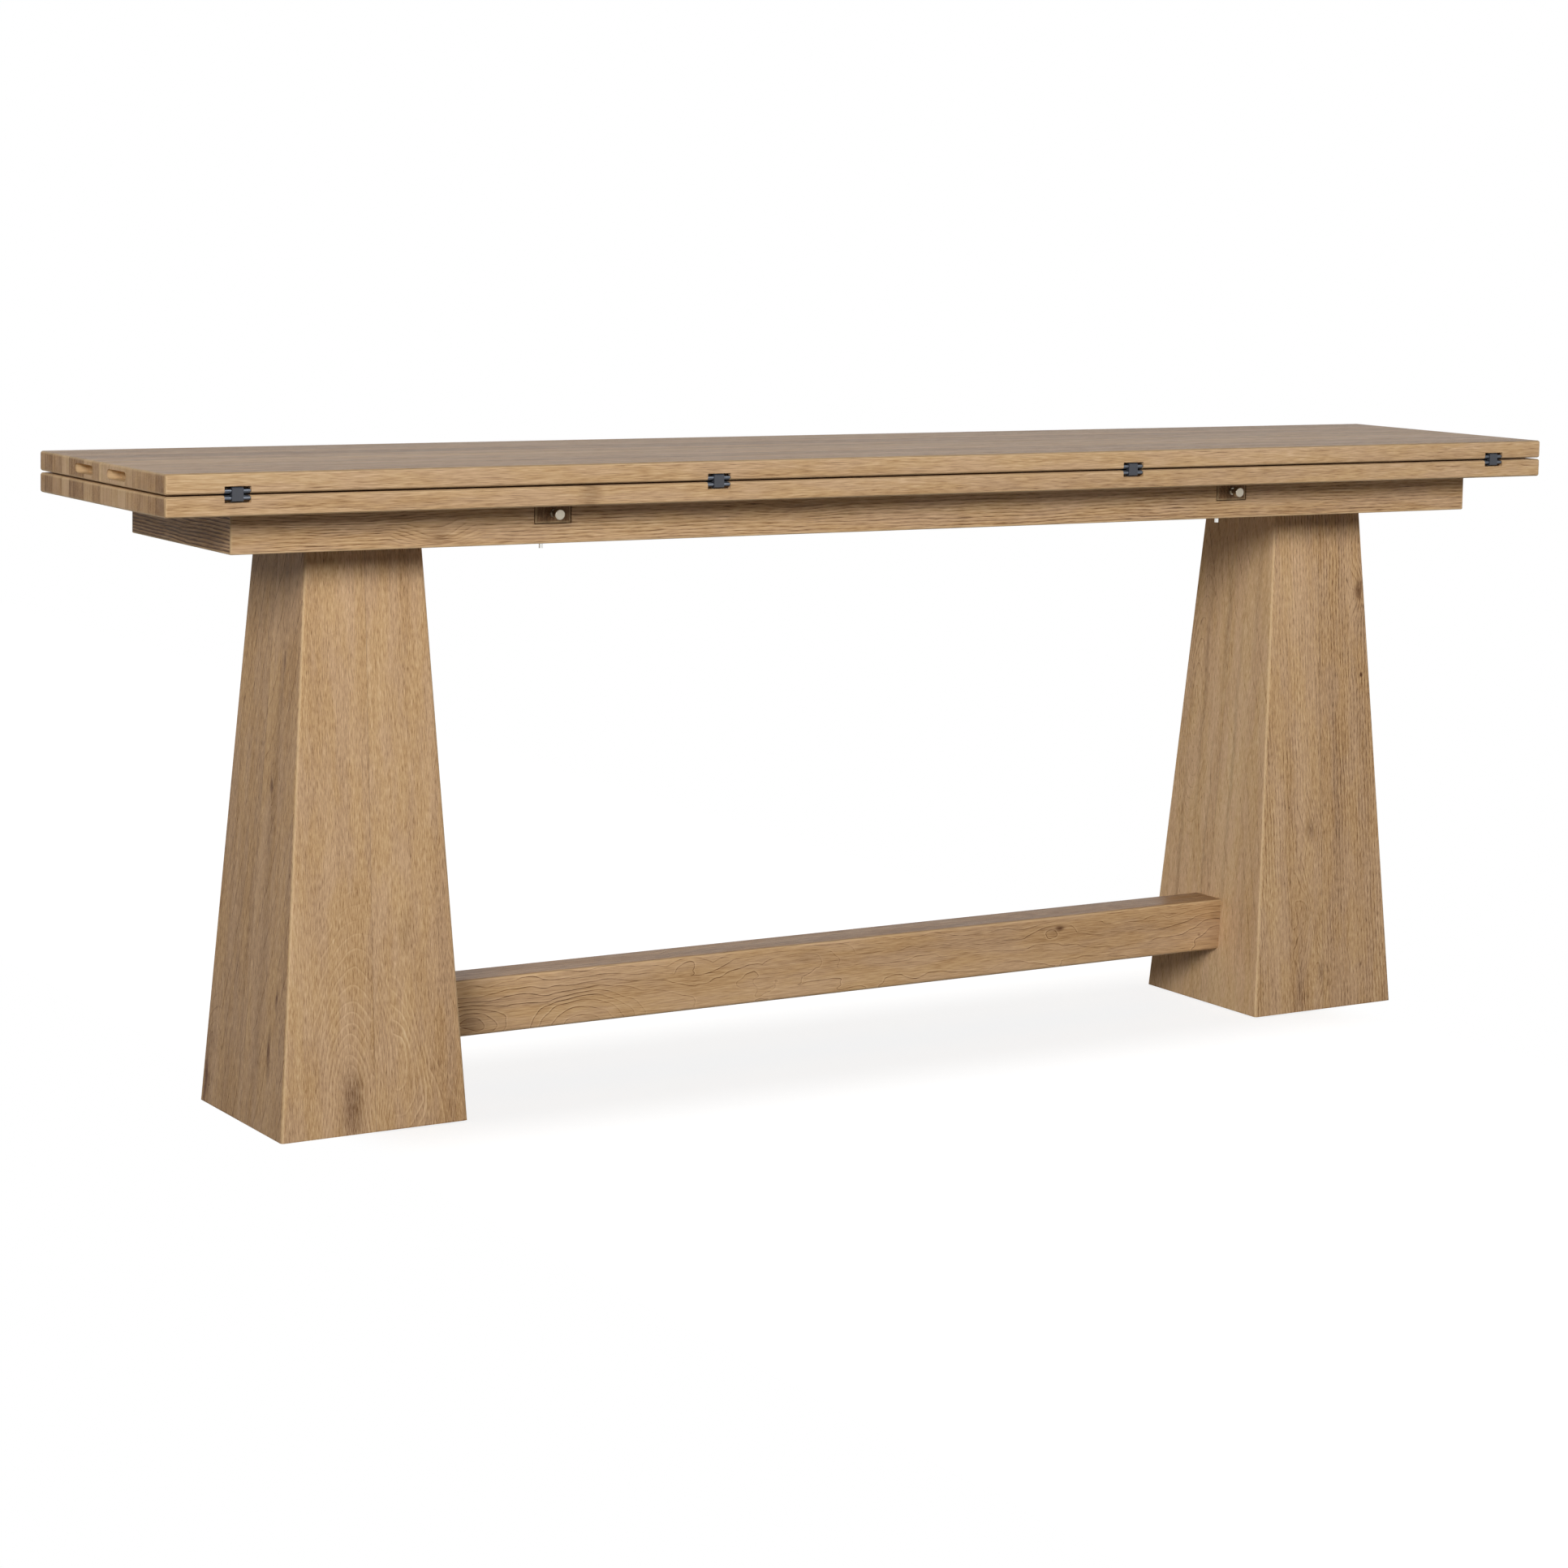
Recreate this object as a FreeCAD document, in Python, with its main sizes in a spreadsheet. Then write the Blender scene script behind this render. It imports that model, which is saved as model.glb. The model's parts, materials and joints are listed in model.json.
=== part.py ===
"""Flip-top console table: a fixed top with two half-depth leaves that turn over on two-pin link hinges.

Frame: origin on the floor under the middle of the table, +X along the length, +Z up. The front, with the
hinges and knobs of the front leaf, faces -Y. All sizes are in millimetres.
"""
import os
import re

import FreeCAD

SIZES = {
    # Top: the fixed board below, the two flip leaves above it
    "table_height": 768,
    "top_length": 1982,
    "top_depth": 378,
    "leaf_thickness": 23,
    "leaf_gap": 2,
    "meeting_gap": 1,
    "edge_rounding": 3,
    "meeting_rounding": 0.8,
    "recess_length": 56,
    "recess_height": 11,
    "recess_depth": 16,
    "recess_offset": 49,
    "pad_radius": 5,
    "pad_clearance": 0.2,
    "pad_inset": 61,
    "pad_across": 14,
    # Apron frame under the fixed top
    "apron_setback": 46,
    "apron_end_setback": 95,
    "apron_height": 46.5,
    "apron_thickness": 20,
    "apron_rounding": 1.5,
    "corner_block_side": 30,
    "corner_block_height": 40,
    "rail_thickness": 22,
    "leg_rail_width": 200,
    "centre_rail_width": 70,
    # Legs: hollow square tapers of four mitred panels
    "leg_inset": 194,
    "leg_foot_width": 235,
    "leg_neck_width": 146,
    "leg_rounding": 4,
    "panel_thickness": 18,
    "top_block_height": 60,
    "foot_block_height": 25,
    "glide_radius": 11,
    "glide_thickness": 1.5,
    "glide_inset": 42.5,
    "nail_radius": 1.5,
    "nail_length": 15,
    # Stretcher between the legs
    "stretcher_width": 56,
    "stretcher_height": 68,
    "stretcher_underside": 77,
    "stretcher_rounding": 4,
    "stretcher_bolt_spacing": 34,
    "spot_face_wall": 12,
    # Bolts that hold the legs and the stretcher, and the threaded inserts they turn into
    "bolt_radius": 4,
    "bolt_clearance": 0.5,
    "bolt_head_radius": 6.5,
    "bolt_head_height": 6,
    "washer_radius": 9,
    "washer_thickness": 1.5,
    "washer_clearance": 1.5,
    "bolt_head_clearance": 1.5,
    "leg_bolt_length": 50,
    "leg_bolt_inset": 21,
    "stretcher_bolt_length": 45,
    "bolt_hole_depth": 50,
    "insert_radius": 6,
    "insert_length": 25,
    "insert_recess": 2,
    # Pan-head screws that hold the rails and trays up to the fixed top
    "screw_radius": 2,
    "screw_head_radius": 4,
    "screw_head_height": 2.5,
    "screw_bite": 13,
    "rail_screw_along": 60,
    "centre_screw_inset": 43,
    "tray_screw_inset": 33,
    # Lopers: the pull-out bars that carry the opened leaves
    "loper_leg_spacing": 205,
    "loper_pitch": 68,
    "slot_width": 49,
    "slot_height": 24,
    "loper_travel": 160,
    "loper_side_clearance": 1.5,
    "loper_back_gap": 4,
    "loper_top_clearance": 0.4,
    "loper_tray_clearance": 0.3,
    "loper_rounding": 0.8,
    "tray_rise": 0.7,
    "tray_thickness": 12,
    "stop_pin_radius": 2.5,
    "stop_pin_inset": 9,
    "stop_pin_hang": 8,
    "groove_depth": 12,
    "groove_clearance": 0.5,
    "groove_end_clearance": 1,
    # Knobs on the lopers
    "knob_head_radius": 6.5,
    "knob_head_length": 9,
    "knob_rounding": 1.5,
    "knob_neck_radius": 3,
    "knob_neck_length": 7,
    "knob_base_radius": 4.5,
    "knob_base_length": 2,
    "knob_stud_radius": 2,
    "knob_stud_length": 14,
    # Two-pin hinges in the front and back edges
    "hinge_inset": 84,
    "open_gap": 1,
    "pocket_width": 31,
    "pocket_height": 8.1,
    "pocket_back_clearance": 1,
    "pin_depth": 3,
    "pin_radius": 1.25,
    "pin_clearance": 0.05,
    "knuckle_radius": 2.55,
    "plate_thickness": 2.5,
    "plate_recess": 0.2,
    "plate_length": 28.5,
    "plate_clearance": 0.4,
    "link_width": 13.3,
    "link_end_clearance": 0.6,
    "link_face_clearance": 0.15,
    "link_side_clearance": 0.3,
    "hinge_screw_along": 9,
    "hinge_screw_behind": 17,
    "hinge_screw_radius": 1.6,
    "hinge_screw_length": 14,
    "hinge_screw_head_radius": 3.2,
    "hinge_screw_head_height": 1.6,
}

# Levels and spans worked out from the sizes, as expressions over the sheet
LEAF_UNDERSIDE = "(table_height - leaf_thickness)"
FIXED_TOP_FACE = f"({LEAF_UNDERSIDE} - leaf_gap)"
FIXED_TOP_UNDERSIDE = f"({FIXED_TOP_FACE} - leaf_thickness)"
APRON_UNDERSIDE = f"({FIXED_TOP_UNDERSIDE} - apron_height)"
APRON_LENGTH = "(top_length - 2 * apron_end_setback)"
APRON_DEPTH = "(top_depth - 2 * apron_setback)"
INSIDE_DEPTH = f"({APRON_DEPTH} - 2 * apron_thickness)"
INSIDE_LENGTH = f"({APRON_LENGTH} - 2 * apron_thickness)"
RAIL_UNDERSIDE = f"({FIXED_TOP_UNDERSIDE} - rail_thickness)"
# The rail screws stand a little past halfway from the leg's neck to the apron
RAIL_SCREW_SHARE = 0.54
RAIL_SCREW_LINE = f"(leg_neck_width / 2 + {RAIL_SCREW_SHARE} * ({INSIDE_DEPTH} - leg_neck_width) / 2)"
CENTRE_SCREW_LINE = f"({INSIDE_DEPTH} / 2 - centre_screw_inset)"
TRAY_SCREW_LINE = f"({INSIDE_DEPTH} / 2 - tray_screw_inset)"
LEG_OFFSET = f"({APRON_LENGTH} / 2 - leg_inset)"
LEG_SLOPE = f"((leg_foot_width - leg_neck_width) / 2 / ({APRON_UNDERSIDE} - glide_thickness))"
GLIDE_OFFSET = "(leg_foot_width / 2 - glide_inset)"
BOLT_HOLE_RADIUS = "(bolt_radius + bolt_clearance)"
COUNTERBORE_RADIUS = "(washer_radius + washer_clearance)"
COUNTERBORE_DEPTH = "(washer_thickness + bolt_head_height + bolt_head_clearance)"
STRETCHER_MIDDLE = "(stretcher_underside + stretcher_height / 2)"
SLOT_FLOOR = f"({FIXED_TOP_UNDERSIDE} - slot_height)"
TRAY_FACE = f"({SLOT_FLOOR} + tray_rise)"
STRIP_HEIGHT = "(slot_height - tray_rise)"
STRIP_WIDTH = "(loper_pitch - slot_width)"
LOPER_UNDERSIDE = f"({TRAY_FACE} + loper_tray_clearance)"
LOPER_HEIGHT = f"({STRIP_HEIGHT} - loper_tray_clearance - loper_top_clearance)"
LOPER_WIDTH = "(slot_width - 2 * loper_side_clearance)"
LOPER_LENGTH = f"({APRON_DEPTH} - apron_thickness - loper_back_gap)"
FRONT_LOPER_OFFSET = f"({LEG_OFFSET} - loper_leg_spacing)"
BACK_LOPER_OFFSET = f"({FRONT_LOPER_OFFSET} - loper_pitch)"
STOP_PIN_PLACE = f"({INSIDE_DEPTH} / 2 - stop_pin_inset)"
PIN_SPAN = "(2 * pin_depth + leaf_gap)"
PIN_SETBACK = f"(({PIN_SPAN} - open_gap) / 2)"
HINGE_LINE = f"(top_depth / 2 - {PIN_SETBACK})"
LOWER_PIN_LEVEL = f"({FIXED_TOP_FACE} - pin_depth)"
UPPER_PIN_LEVEL = f"({LEAF_UNDERSIDE} + pin_depth)"
LINK_END_RADIUS = "(pocket_height - pin_depth - link_end_clearance)"
POCKET_REACH = f"({PIN_SETBACK} + {LINK_END_RADIUS} + pocket_back_clearance)"
PLATE_WIDTH = "(pocket_width - 2 * plate_clearance)"
OUTER_HINGE = "(top_length / 2 - hinge_inset)"
HINGE_PLACES = [f"({count} * {OUTER_HINGE} / 3)" for count in (-3, -1, 1, 3)]
ALONG_AXIS_SHARE = 0.9

FRONT, BACK = -1, 1
LEFT, RIGHT = -1, 1
SIDE_NAMES = {LEFT: "left", RIGHT: "right"}
EDGE_NAMES = {FRONT: "front", BACK: "back"}

AXES = {"x": FreeCAD.Vector(1, 0, 0), "y": FreeCAD.Vector(0, 1, 0), "z": FreeCAD.Vector(0, 0, 1)}


def turned(axis, degrees):
    """A rotation about one of the frame's axes."""
    return FreeCAD.Rotation(AXES[axis], degrees)


AS_BUILT = turned("z", 0)
HALF_TURN = turned("z", 180)
UPRIGHT = turned("x", 90)
CYLINDER_TURNS = {"x": turned("y", 90), "y": turned("x", -90), "z": AS_BUILT}
EDGE_TURNS = {FRONT: AS_BUILT, BACK: HALF_TURN}

doc = FreeCAD.newDocument("FlipTopConsoleTable")
sheet = doc.addObject("Spreadsheet::Sheet", "Sizes")
for row, (size_name, size_value) in enumerate(SIZES.items(), start=1):
    sheet.set(f"A{row}", size_name)
    sheet.set(f"B{row}", str(size_value))
    sheet.setAlias(f"B{row}", size_name)
doc.recompute()

nodes = {}


def over_sheet(expression):
    """An expression over the sizes' names, written with the sheet's name before each of them."""
    return re.sub(r"[a-z][a-z_]+", lambda word: f"Sizes.{word.group()}", expression)


def place(item, at, turn):
    """Give an object its turn, and bind its position to three expressions."""
    item.Placement = FreeCAD.Placement(FreeCAD.Vector(), turn)
    for axis, expression in zip("xyz", at):
        item.setExpression(f"Placement.Base.{axis}", over_sheet(expression))


def new_body(label, at=("0", "0", "0"), turn=AS_BUILT):
    """An empty body that is placed as a whole."""
    body = doc.addObject("PartDesign::Body", label)
    place(body, at, turn)
    return body


def new_node(label, at=("0", "0", "0"), turn=AS_BUILT):
    """A body that is one named piece of the table."""
    nodes[label] = new_body(label, at, turn)
    return nodes[label]


def feature(body, kind, name, at, turn, sizes):
    """Add one primitive to a body, or take it away, with its sizes bound to the sheet."""
    item = body.newObject(f"PartDesign::{kind}", name)
    place(item, at, turn)
    for size, expression in sizes.items():
        item.setExpression(size, over_sheet(expression))
    return item


def box(body, name, centre, size, cut=False):
    """A box about its centre."""
    corner = [f"{middle} - ({extent}) / 2" for middle, extent in zip(centre, size)]
    kind = "SubtractiveBox" if cut else "AdditiveBox"
    return feature(body, kind, name, corner, AS_BUILT, dict(zip(("Length", "Width", "Height"), size)))


def cylinder(body, name, centre, radius, length, axis, cut=False):
    """A cylinder about its centre, along one of the frame's axes."""
    start = [f"{middle} - ({length}) / 2" if along == axis else middle
             for along, middle in zip("xyz", centre)]
    kind = "SubtractiveCylinder" if cut else "AdditiveCylinder"
    return feature(body, kind, name, start, CYLINDER_TURNS[axis], {"Radius": radius, "Height": length})


def wedge(body, name, low, high, near, far, turn=AS_BUILT, cut=False):
    """A block that tapers along Y: near and far are its half spans in X and its Z range at each end."""
    sizes = {"Ymin": low, "Ymax": high}
    for suffix, (half_span, bottom, top) in (("", near), ("2", far)):
        sizes[f"X{suffix}min"] = f"-({half_span})"
        sizes[f"X{suffix}max"] = half_span
        sizes[f"Z{suffix}min"] = bottom
        sizes[f"Z{suffix}max"] = top
    kind = "SubtractiveWedge" if cut else "AdditiveWedge"
    return feature(body, kind, name, ("0", "0", "0"), turn, sizes)


def round_edges(body, name, radius, wanted):
    """Round the edges of a body that the test picks."""
    doc.recompute()
    base = body.Tip
    picked = [f"Edge{count}" for count, edge in enumerate(base.Shape.Edges, 1) if wanted(edge, base.Shape)]
    rounding = body.newObject("PartDesign::Fillet", name)
    rounding.Base = (base, picked)
    rounding.setExpression("Radius", over_sheet(radius))


def runs_along(edge, axis):
    """True for a straight edge that runs mostly along one axis."""
    ends = [vertex.Point for vertex in edge.Vertexes]
    if len(ends) < 2:
        return False
    span = ends[1] - ends[0]
    return abs(span.dot(AXES[axis])) > ALONG_AXIS_SHARE * span.Length


def copies(label, master, places):
    """One node that holds a separate copy of a piece at each place and turn."""
    links = []
    for count, (at, turn) in enumerate(places, start=1):
        link = doc.addObject("App::Link", f"{label}_{count}")
        link.LinkedObject = master
        place(link, at, turn)
        links.append(link)
    nodes[label] = doc.addObject("Part::Compound", label)
    nodes[label].Links = links


def screw_holes(body, name, places, middle, length):
    """Upright holes of the pan-head screws' shank."""
    for x, y in places:
        cylinder(body, name, (x, y, middle), "screw_radius", length, "z", cut=True)


def rail_screw_places():
    """Places of the screws in the leg rails and the centre rail."""
    places = [("0", f"{side} * {CENTRE_SCREW_LINE}") for side in (FRONT, BACK)]
    for end in (LEFT, RIGHT):
        for along in (LEFT, RIGHT):
            for side in (FRONT, BACK):
                x = f"{end} * {LEG_OFFSET} + {along} * rail_screw_along"
                places.append((x, f"{side} * {RAIL_SCREW_LINE}"))
    return places


def strip_places(end):
    """Places of the three guide strips of one end: beside, between and beside its two lopers."""
    middle = f"({FRONT_LOPER_OFFSET} - loper_pitch / 2)"
    return [f"({end} * ({middle} + {step} * loper_pitch))" for step in (-1, 0, 1)]


def tray_screw_places(end):
    """Places of the screws through one tray and its guide strips."""
    return [(x, f"{side} * {TRAY_SCREW_LINE}") for x in strip_places(end) for side in (FRONT, BACK)]


def hinge_cuts(body, edge, face, into):
    """Pockets, plate recesses and screw holes of a row of hinges: into is the way from face into the wood."""
    pocket_middle = f"{edge} * (top_depth - {POCKET_REACH}) / 2"
    recess_reach = f"({PIN_SETBACK} + plate_length + plate_clearance)"
    recess_middle = f"{edge} * (top_depth - {recess_reach}) / 2"
    recess_depth = "(plate_recess + plate_thickness)"
    screw_line = f"{edge} * ({HINGE_LINE} - hinge_screw_behind)"
    screw_middle = f"{face} + {into} * (plate_recess + hinge_screw_length / 2)"
    for x in HINGE_PLACES:
        pocket_level = f"{face} + {into} * pocket_height / 2"
        box(body, "hinge_pocket", (x, pocket_middle, pocket_level),
            ("pocket_width", POCKET_REACH, "pocket_height"), cut=True)
        box(body, "plate_recess_cut", (x, recess_middle, f"{face} + {into} * {recess_depth} / 2"),
            ("pocket_width", recess_reach, recess_depth), cut=True)
        for side in (LEFT, RIGHT):
            at = (f"{x} + {side} * hinge_screw_along", screw_line, screw_middle)
            cylinder(body, "hinge_screw_hole", at, "hinge_screw_radius", "hinge_screw_length", "z", cut=True)


def make_fixed_top():
    """The lower board: hinge pockets in its upper face, screw holes in its underside."""
    body = new_node("fixed_top")
    box(body, "board", ("0", "0", f"{FIXED_TOP_FACE} - leaf_thickness / 2"),
        ("top_length", "top_depth", "leaf_thickness"))
    round_edges(body, "eased_edges", "edge_rounding", lambda edge, shape: True)
    for edge in (FRONT, BACK):
        hinge_cuts(body, edge, FIXED_TOP_FACE, -1)
    places = rail_screw_places() + tray_screw_places(LEFT) + tray_screw_places(RIGHT)
    screw_holes(body, "fixing_hole", places, f"{FIXED_TOP_UNDERSIDE} + screw_bite / 2", "screw_bite")


def make_flip_leaf(edge):
    """One half-depth leaf, with hinge pockets in its underside and a finger recess in each end."""
    body = new_node(f"{EDGE_NAMES[edge]}_leaf", turn=EDGE_TURNS[edge])
    depth = "(top_depth / 2 - meeting_gap / 2)"
    box(body, "board", ("0", f"-top_depth / 2 + {depth} / 2", f"{LEAF_UNDERSIDE} + leaf_thickness / 2"),
        ("top_length", depth, "leaf_thickness"))
    round_edges(body, "eased_edges", "edge_rounding",
                lambda edge, shape: edge.BoundBox.YMin < shape.BoundBox.Center.y)
    round_edges(body, "eased_meeting_edges", "meeting_rounding",
                lambda edge, shape: edge.BoundBox.YMin > shape.BoundBox.Center.y)
    hinge_cuts(body, FRONT, LEAF_UNDERSIDE, 1)
    level = f"{LEAF_UNDERSIDE} + leaf_thickness / 2"
    straight = "(recess_length - recess_height)"
    for end in (LEFT, RIGHT):
        middle = f"{end} * (top_length - recess_depth) / 2"
        box(body, "finger_recess", (middle, "-recess_offset", level),
            ("recess_depth", straight, "recess_height"), cut=True)
        for side in (FRONT, BACK):
            cylinder(body, "recess_round_end", (middle, f"-recess_offset + {side} * {straight} / 2", level),
                     "recess_height / 2", "recess_depth", "x", cut=True)


def make_apron(label, length, distance, turn, slot_offset=None):
    """One mitred board of the apron frame, with loper slots in its upper edge where it has lopers."""
    body = new_node(label, turn=turn)
    outer = (f"{length} / 2", APRON_UNDERSIDE, FIXED_TOP_UNDERSIDE)
    inner = (f"{length} / 2 - apron_thickness", APRON_UNDERSIDE, FIXED_TOP_UNDERSIDE)
    wedge(body, "board", f"-{distance}", f"-{distance} + apron_thickness", outer, inner)
    round_edges(body, "eased_lower_edge", "apron_rounding",
                lambda edge, shape: runs_along(edge, "x") and edge.BoundBox.ZMax < shape.BoundBox.Center.z
                and edge.BoundBox.YMax < shape.BoundBox.Center.y)
    if slot_offset is None:
        return
    for end in (LEFT, RIGHT):
        box(body, "loper_slot", (f"{end} * {slot_offset}", f"-{distance} + apron_thickness / 2",
                                 f"{SLOT_FLOOR} + slot_height / 2"),
            ("slot_width", "apron_thickness", "slot_height"), cut=True)


def make_apron_frame():
    """Four aprons and the glue blocks in their corners."""
    half_depth = f"({APRON_DEPTH} / 2)"
    make_apron("front_apron", APRON_LENGTH, half_depth, AS_BUILT, FRONT_LOPER_OFFSET)
    make_apron("back_apron", APRON_LENGTH, half_depth, HALF_TURN, BACK_LOPER_OFFSET)
    make_apron("left_apron", APRON_DEPTH, f"({APRON_LENGTH} / 2)", turned("z", -90))
    make_apron("right_apron", APRON_DEPTH, f"({APRON_LENGTH} / 2)", turned("z", 90))

    block = new_body("corner_block")
    feature(block, "AdditiveWedge", "block", ("0", "0", "0"), AS_BUILT,
            {"Xmin": "0", "Xmax": "corner_block_side", "Ymin": "0", "Ymax": "corner_block_side",
             "Zmin": "0", "Zmax": "corner_block_height", "X2min": "0", "X2max": "0",
             "Z2min": "0", "Z2max": "corner_block_height"})
    level = f"{FIXED_TOP_UNDERSIDE} - corner_block_height"
    places = []
    for quarter, (end, side) in enumerate(((LEFT, FRONT), (RIGHT, FRONT), (RIGHT, BACK), (LEFT, BACK))):
        at = (f"{end} * {INSIDE_LENGTH} / 2", f"{side} * {INSIDE_DEPTH} / 2", level)
        places.append((at, turned("z", 90 * quarter)))
    copies("corner_blocks", block, places)


def make_rails():
    """Cross rails under the fixed top: one over each leg and one in the middle, with their screws."""
    middle = f"{RAIL_UNDERSIDE} + rail_thickness / 2"
    for end in (LEFT, RIGHT):
        body = new_node(f"{SIDE_NAMES[end]}_leg_rail", at=(f"{end} * {LEG_OFFSET}", "0", "0"))
        box(body, "board", ("0", "0", middle), ("leg_rail_width", INSIDE_DEPTH, "rail_thickness"))
        for x, y in bolt_pattern():
            cylinder(body, "bolt_hole", (x, y, middle), BOLT_HOLE_RADIUS, "rail_thickness", "z", cut=True)
            cylinder(body, "bolt_counterbore", (x, y, f"{FIXED_TOP_UNDERSIDE} - {COUNTERBORE_DEPTH} / 2"),
                     COUNTERBORE_RADIUS, COUNTERBORE_DEPTH, "z", cut=True)
        places = [(f"{along} * rail_screw_along", f"{side} * {RAIL_SCREW_LINE}")
                  for along in (LEFT, RIGHT) for side in (FRONT, BACK)]
        screw_holes(body, "screw_hole", places, middle, "rail_thickness")

    body = new_node("centre_rail")
    box(body, "board", ("0", "0", middle), ("centre_rail_width", INSIDE_DEPTH, "rail_thickness"))
    places = [("0", f"{side} * {CENTRE_SCREW_LINE}") for side in (FRONT, BACK)]
    screw_holes(body, "screw_hole", places, middle, "rail_thickness")

    screw = make_screw("rail_screw", "rail_thickness + screw_bite")
    copies("rail_screws", screw, [((x, y, RAIL_UNDERSIDE), AS_BUILT) for x, y in rail_screw_places()])


def make_screw(label, length):
    """A pan-head screw that points up, with the underside of its head at its origin."""
    body = new_body(label)
    cylinder(body, "head", ("0", "0", "-screw_head_height / 2"),
             "screw_head_radius", "screw_head_height", "z")
    cylinder(body, "shank", ("0", "0", f"({length}) / 2"), "screw_radius", length, "z")
    return body


def bolt_pattern():
    """Places of the four bolts of one leg, from the leg's axis."""
    offset = f"({leg_half_width(RAIL_UNDERSIDE)} - panel_thickness - leg_bolt_inset)"
    return [(f"{along} * {offset}", f"{side} * {offset}")
            for along in (LEFT, RIGHT) for side in (FRONT, BACK)]


def make_bolt(label, length):
    """A socket-head bolt with its washer: it points down, with the washer's underside at its origin."""
    body = new_body(label)
    cylinder(body, "washer", ("0", "0", "washer_thickness / 2"), "washer_radius", "washer_thickness", "z")
    cylinder(body, "head", ("0", "0", "washer_thickness + bolt_head_height / 2"),
             "bolt_head_radius", "bolt_head_height", "z")
    cylinder(body, "key_socket", ("0", "0", "washer_thickness + 3 * bolt_head_height / 4"),
             "bolt_head_radius / 2", "bolt_head_height / 2", "z", cut=True)
    cylinder(body, "shank", ("0", "0", f"-({length}) / 2"), "bolt_radius", length, "z")
    return body


def make_insert():
    """A threaded sleeve that hangs down from its origin."""
    body = new_body("threaded_insert")
    cylinder(body, "sleeve", ("0", "0", "-insert_length / 2"), "insert_radius", "insert_length", "z")
    cylinder(body, "thread", ("0", "0", "-insert_length / 2"), "bolt_radius", "insert_length", "z", cut=True)
    return body


def leg_half_width(level):
    """Half the width of a leg at a height above the floor."""
    return f"(leg_foot_width / 2 - ({level} - glide_thickness) * {LEG_SLOPE})"


def leg_taper(body, name, low, high, inset="0", cut=False):
    """A square taper about the leg's axis that follows the leg's faces at an inset."""
    low_half = f"({leg_half_width(low)} - {inset})"
    high_half = f"({leg_half_width(high)} - {inset})"
    near = (low_half, f"-{low_half}", low_half)
    far = (high_half, f"-{high_half}", high_half)
    wedge(body, name, low, high, near, far, UPRIGHT, cut)


def make_leg_panel(label, end, turn, joins_stretcher):
    """One panel of a leg: the front quarter of the hollow taper, cut at both mitres, turned to its side."""
    body = new_node(label, at=(f"{end} * {LEG_OFFSET}", "0", "0"), turn=turn)
    leg_taper(body, "outside", "glide_thickness", RAIL_UNDERSIDE)
    round_edges(body, "eased_corners", "leg_rounding", lambda edge, shape: runs_along(edge, "z"))
    leg_taper(body, "hollow", "glide_thickness", RAIL_UNDERSIDE, "panel_thickness", cut=True)
    for side in (LEFT, RIGHT):
        feature(body, "SubtractiveBox", "mitre", ("-leg_foot_width", f"{-side} * leg_foot_width", "0"),
                turned("z", side * 45),
                {"Length": "3 * leg_foot_width", "Width": "2 * leg_foot_width", "Height": "table_height"})
    if not joins_stretcher:
        return
    for level in stretcher_bolt_levels():
        face = f"-{leg_half_width(level)}"
        cylinder(body, "stretcher_bolt_hole", ("0", f"{face} + panel_thickness / 2", level),
                 BOLT_HOLE_RADIUS, "2 * panel_thickness", "y", cut=True)
        cylinder(body, "spot_face", ("0", f"{face} + spot_face_wall + panel_thickness / 2", level),
                 COUNTERBORE_RADIUS, "panel_thickness", "y", cut=True)


def stretcher_bolt_levels():
    """Heights of the two bolts at each end of the stretcher."""
    return [f"({STRETCHER_MIDDLE} + {step} * stretcher_bolt_spacing / 2)" for step in (-1, 1)]


def make_leg(end):
    """A leg: four mitred panels around a top block and a foot block."""
    side_name = SIDE_NAMES[end]
    make_leg_panel(f"{side_name}_leg_front_panel", end, AS_BUILT, False)
    make_leg_panel(f"{side_name}_leg_back_panel", end, HALF_TURN, False)
    make_leg_panel(f"{side_name}_leg_outer_panel", end, turned("z", 90 * end), False)
    make_leg_panel(f"{side_name}_leg_inner_panel", end, turned("z", -90 * end), True)

    axis = (f"{end} * {LEG_OFFSET}", "0", "0")
    block = new_node(f"{side_name}_leg_top_block", at=axis)
    leg_taper(block, "block", f"({RAIL_UNDERSIDE} - top_block_height)", RAIL_UNDERSIDE, "panel_thickness")
    for x, y in bolt_pattern():
        cylinder(block, "bolt_hole", (x, y, f"{RAIL_UNDERSIDE} - bolt_hole_depth / 2"),
                 BOLT_HOLE_RADIUS, "bolt_hole_depth", "z", cut=True)
        cylinder(block, "insert_hole", (x, y, f"{RAIL_UNDERSIDE} - insert_length / 2"),
                 "insert_radius", "insert_length", "z", cut=True)

    foot = new_node(f"{side_name}_leg_foot_block", at=axis)
    leg_taper(foot, "block", "glide_thickness", "(glide_thickness + foot_block_height)", "panel_thickness")
    for x, y in glide_pattern():
        cylinder(foot, "nail_hole", (x, y, "glide_thickness + nail_length / 2"),
                 "nail_radius", "nail_length", "z", cut=True)


def glide_pattern():
    """Places of the four glides of one leg, from the leg's axis."""
    return [(f"{along} * {GLIDE_OFFSET}", f"{side} * {GLIDE_OFFSET}")
            for along in (LEFT, RIGHT) for side in (FRONT, BACK)]


def at_both_legs(pattern, level):
    """A pattern about each leg's axis, at one height."""
    return [((f"{end} * {LEG_OFFSET} + {x}", y, level), AS_BUILT)
            for end in (LEFT, RIGHT) for x, y in pattern]


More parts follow.
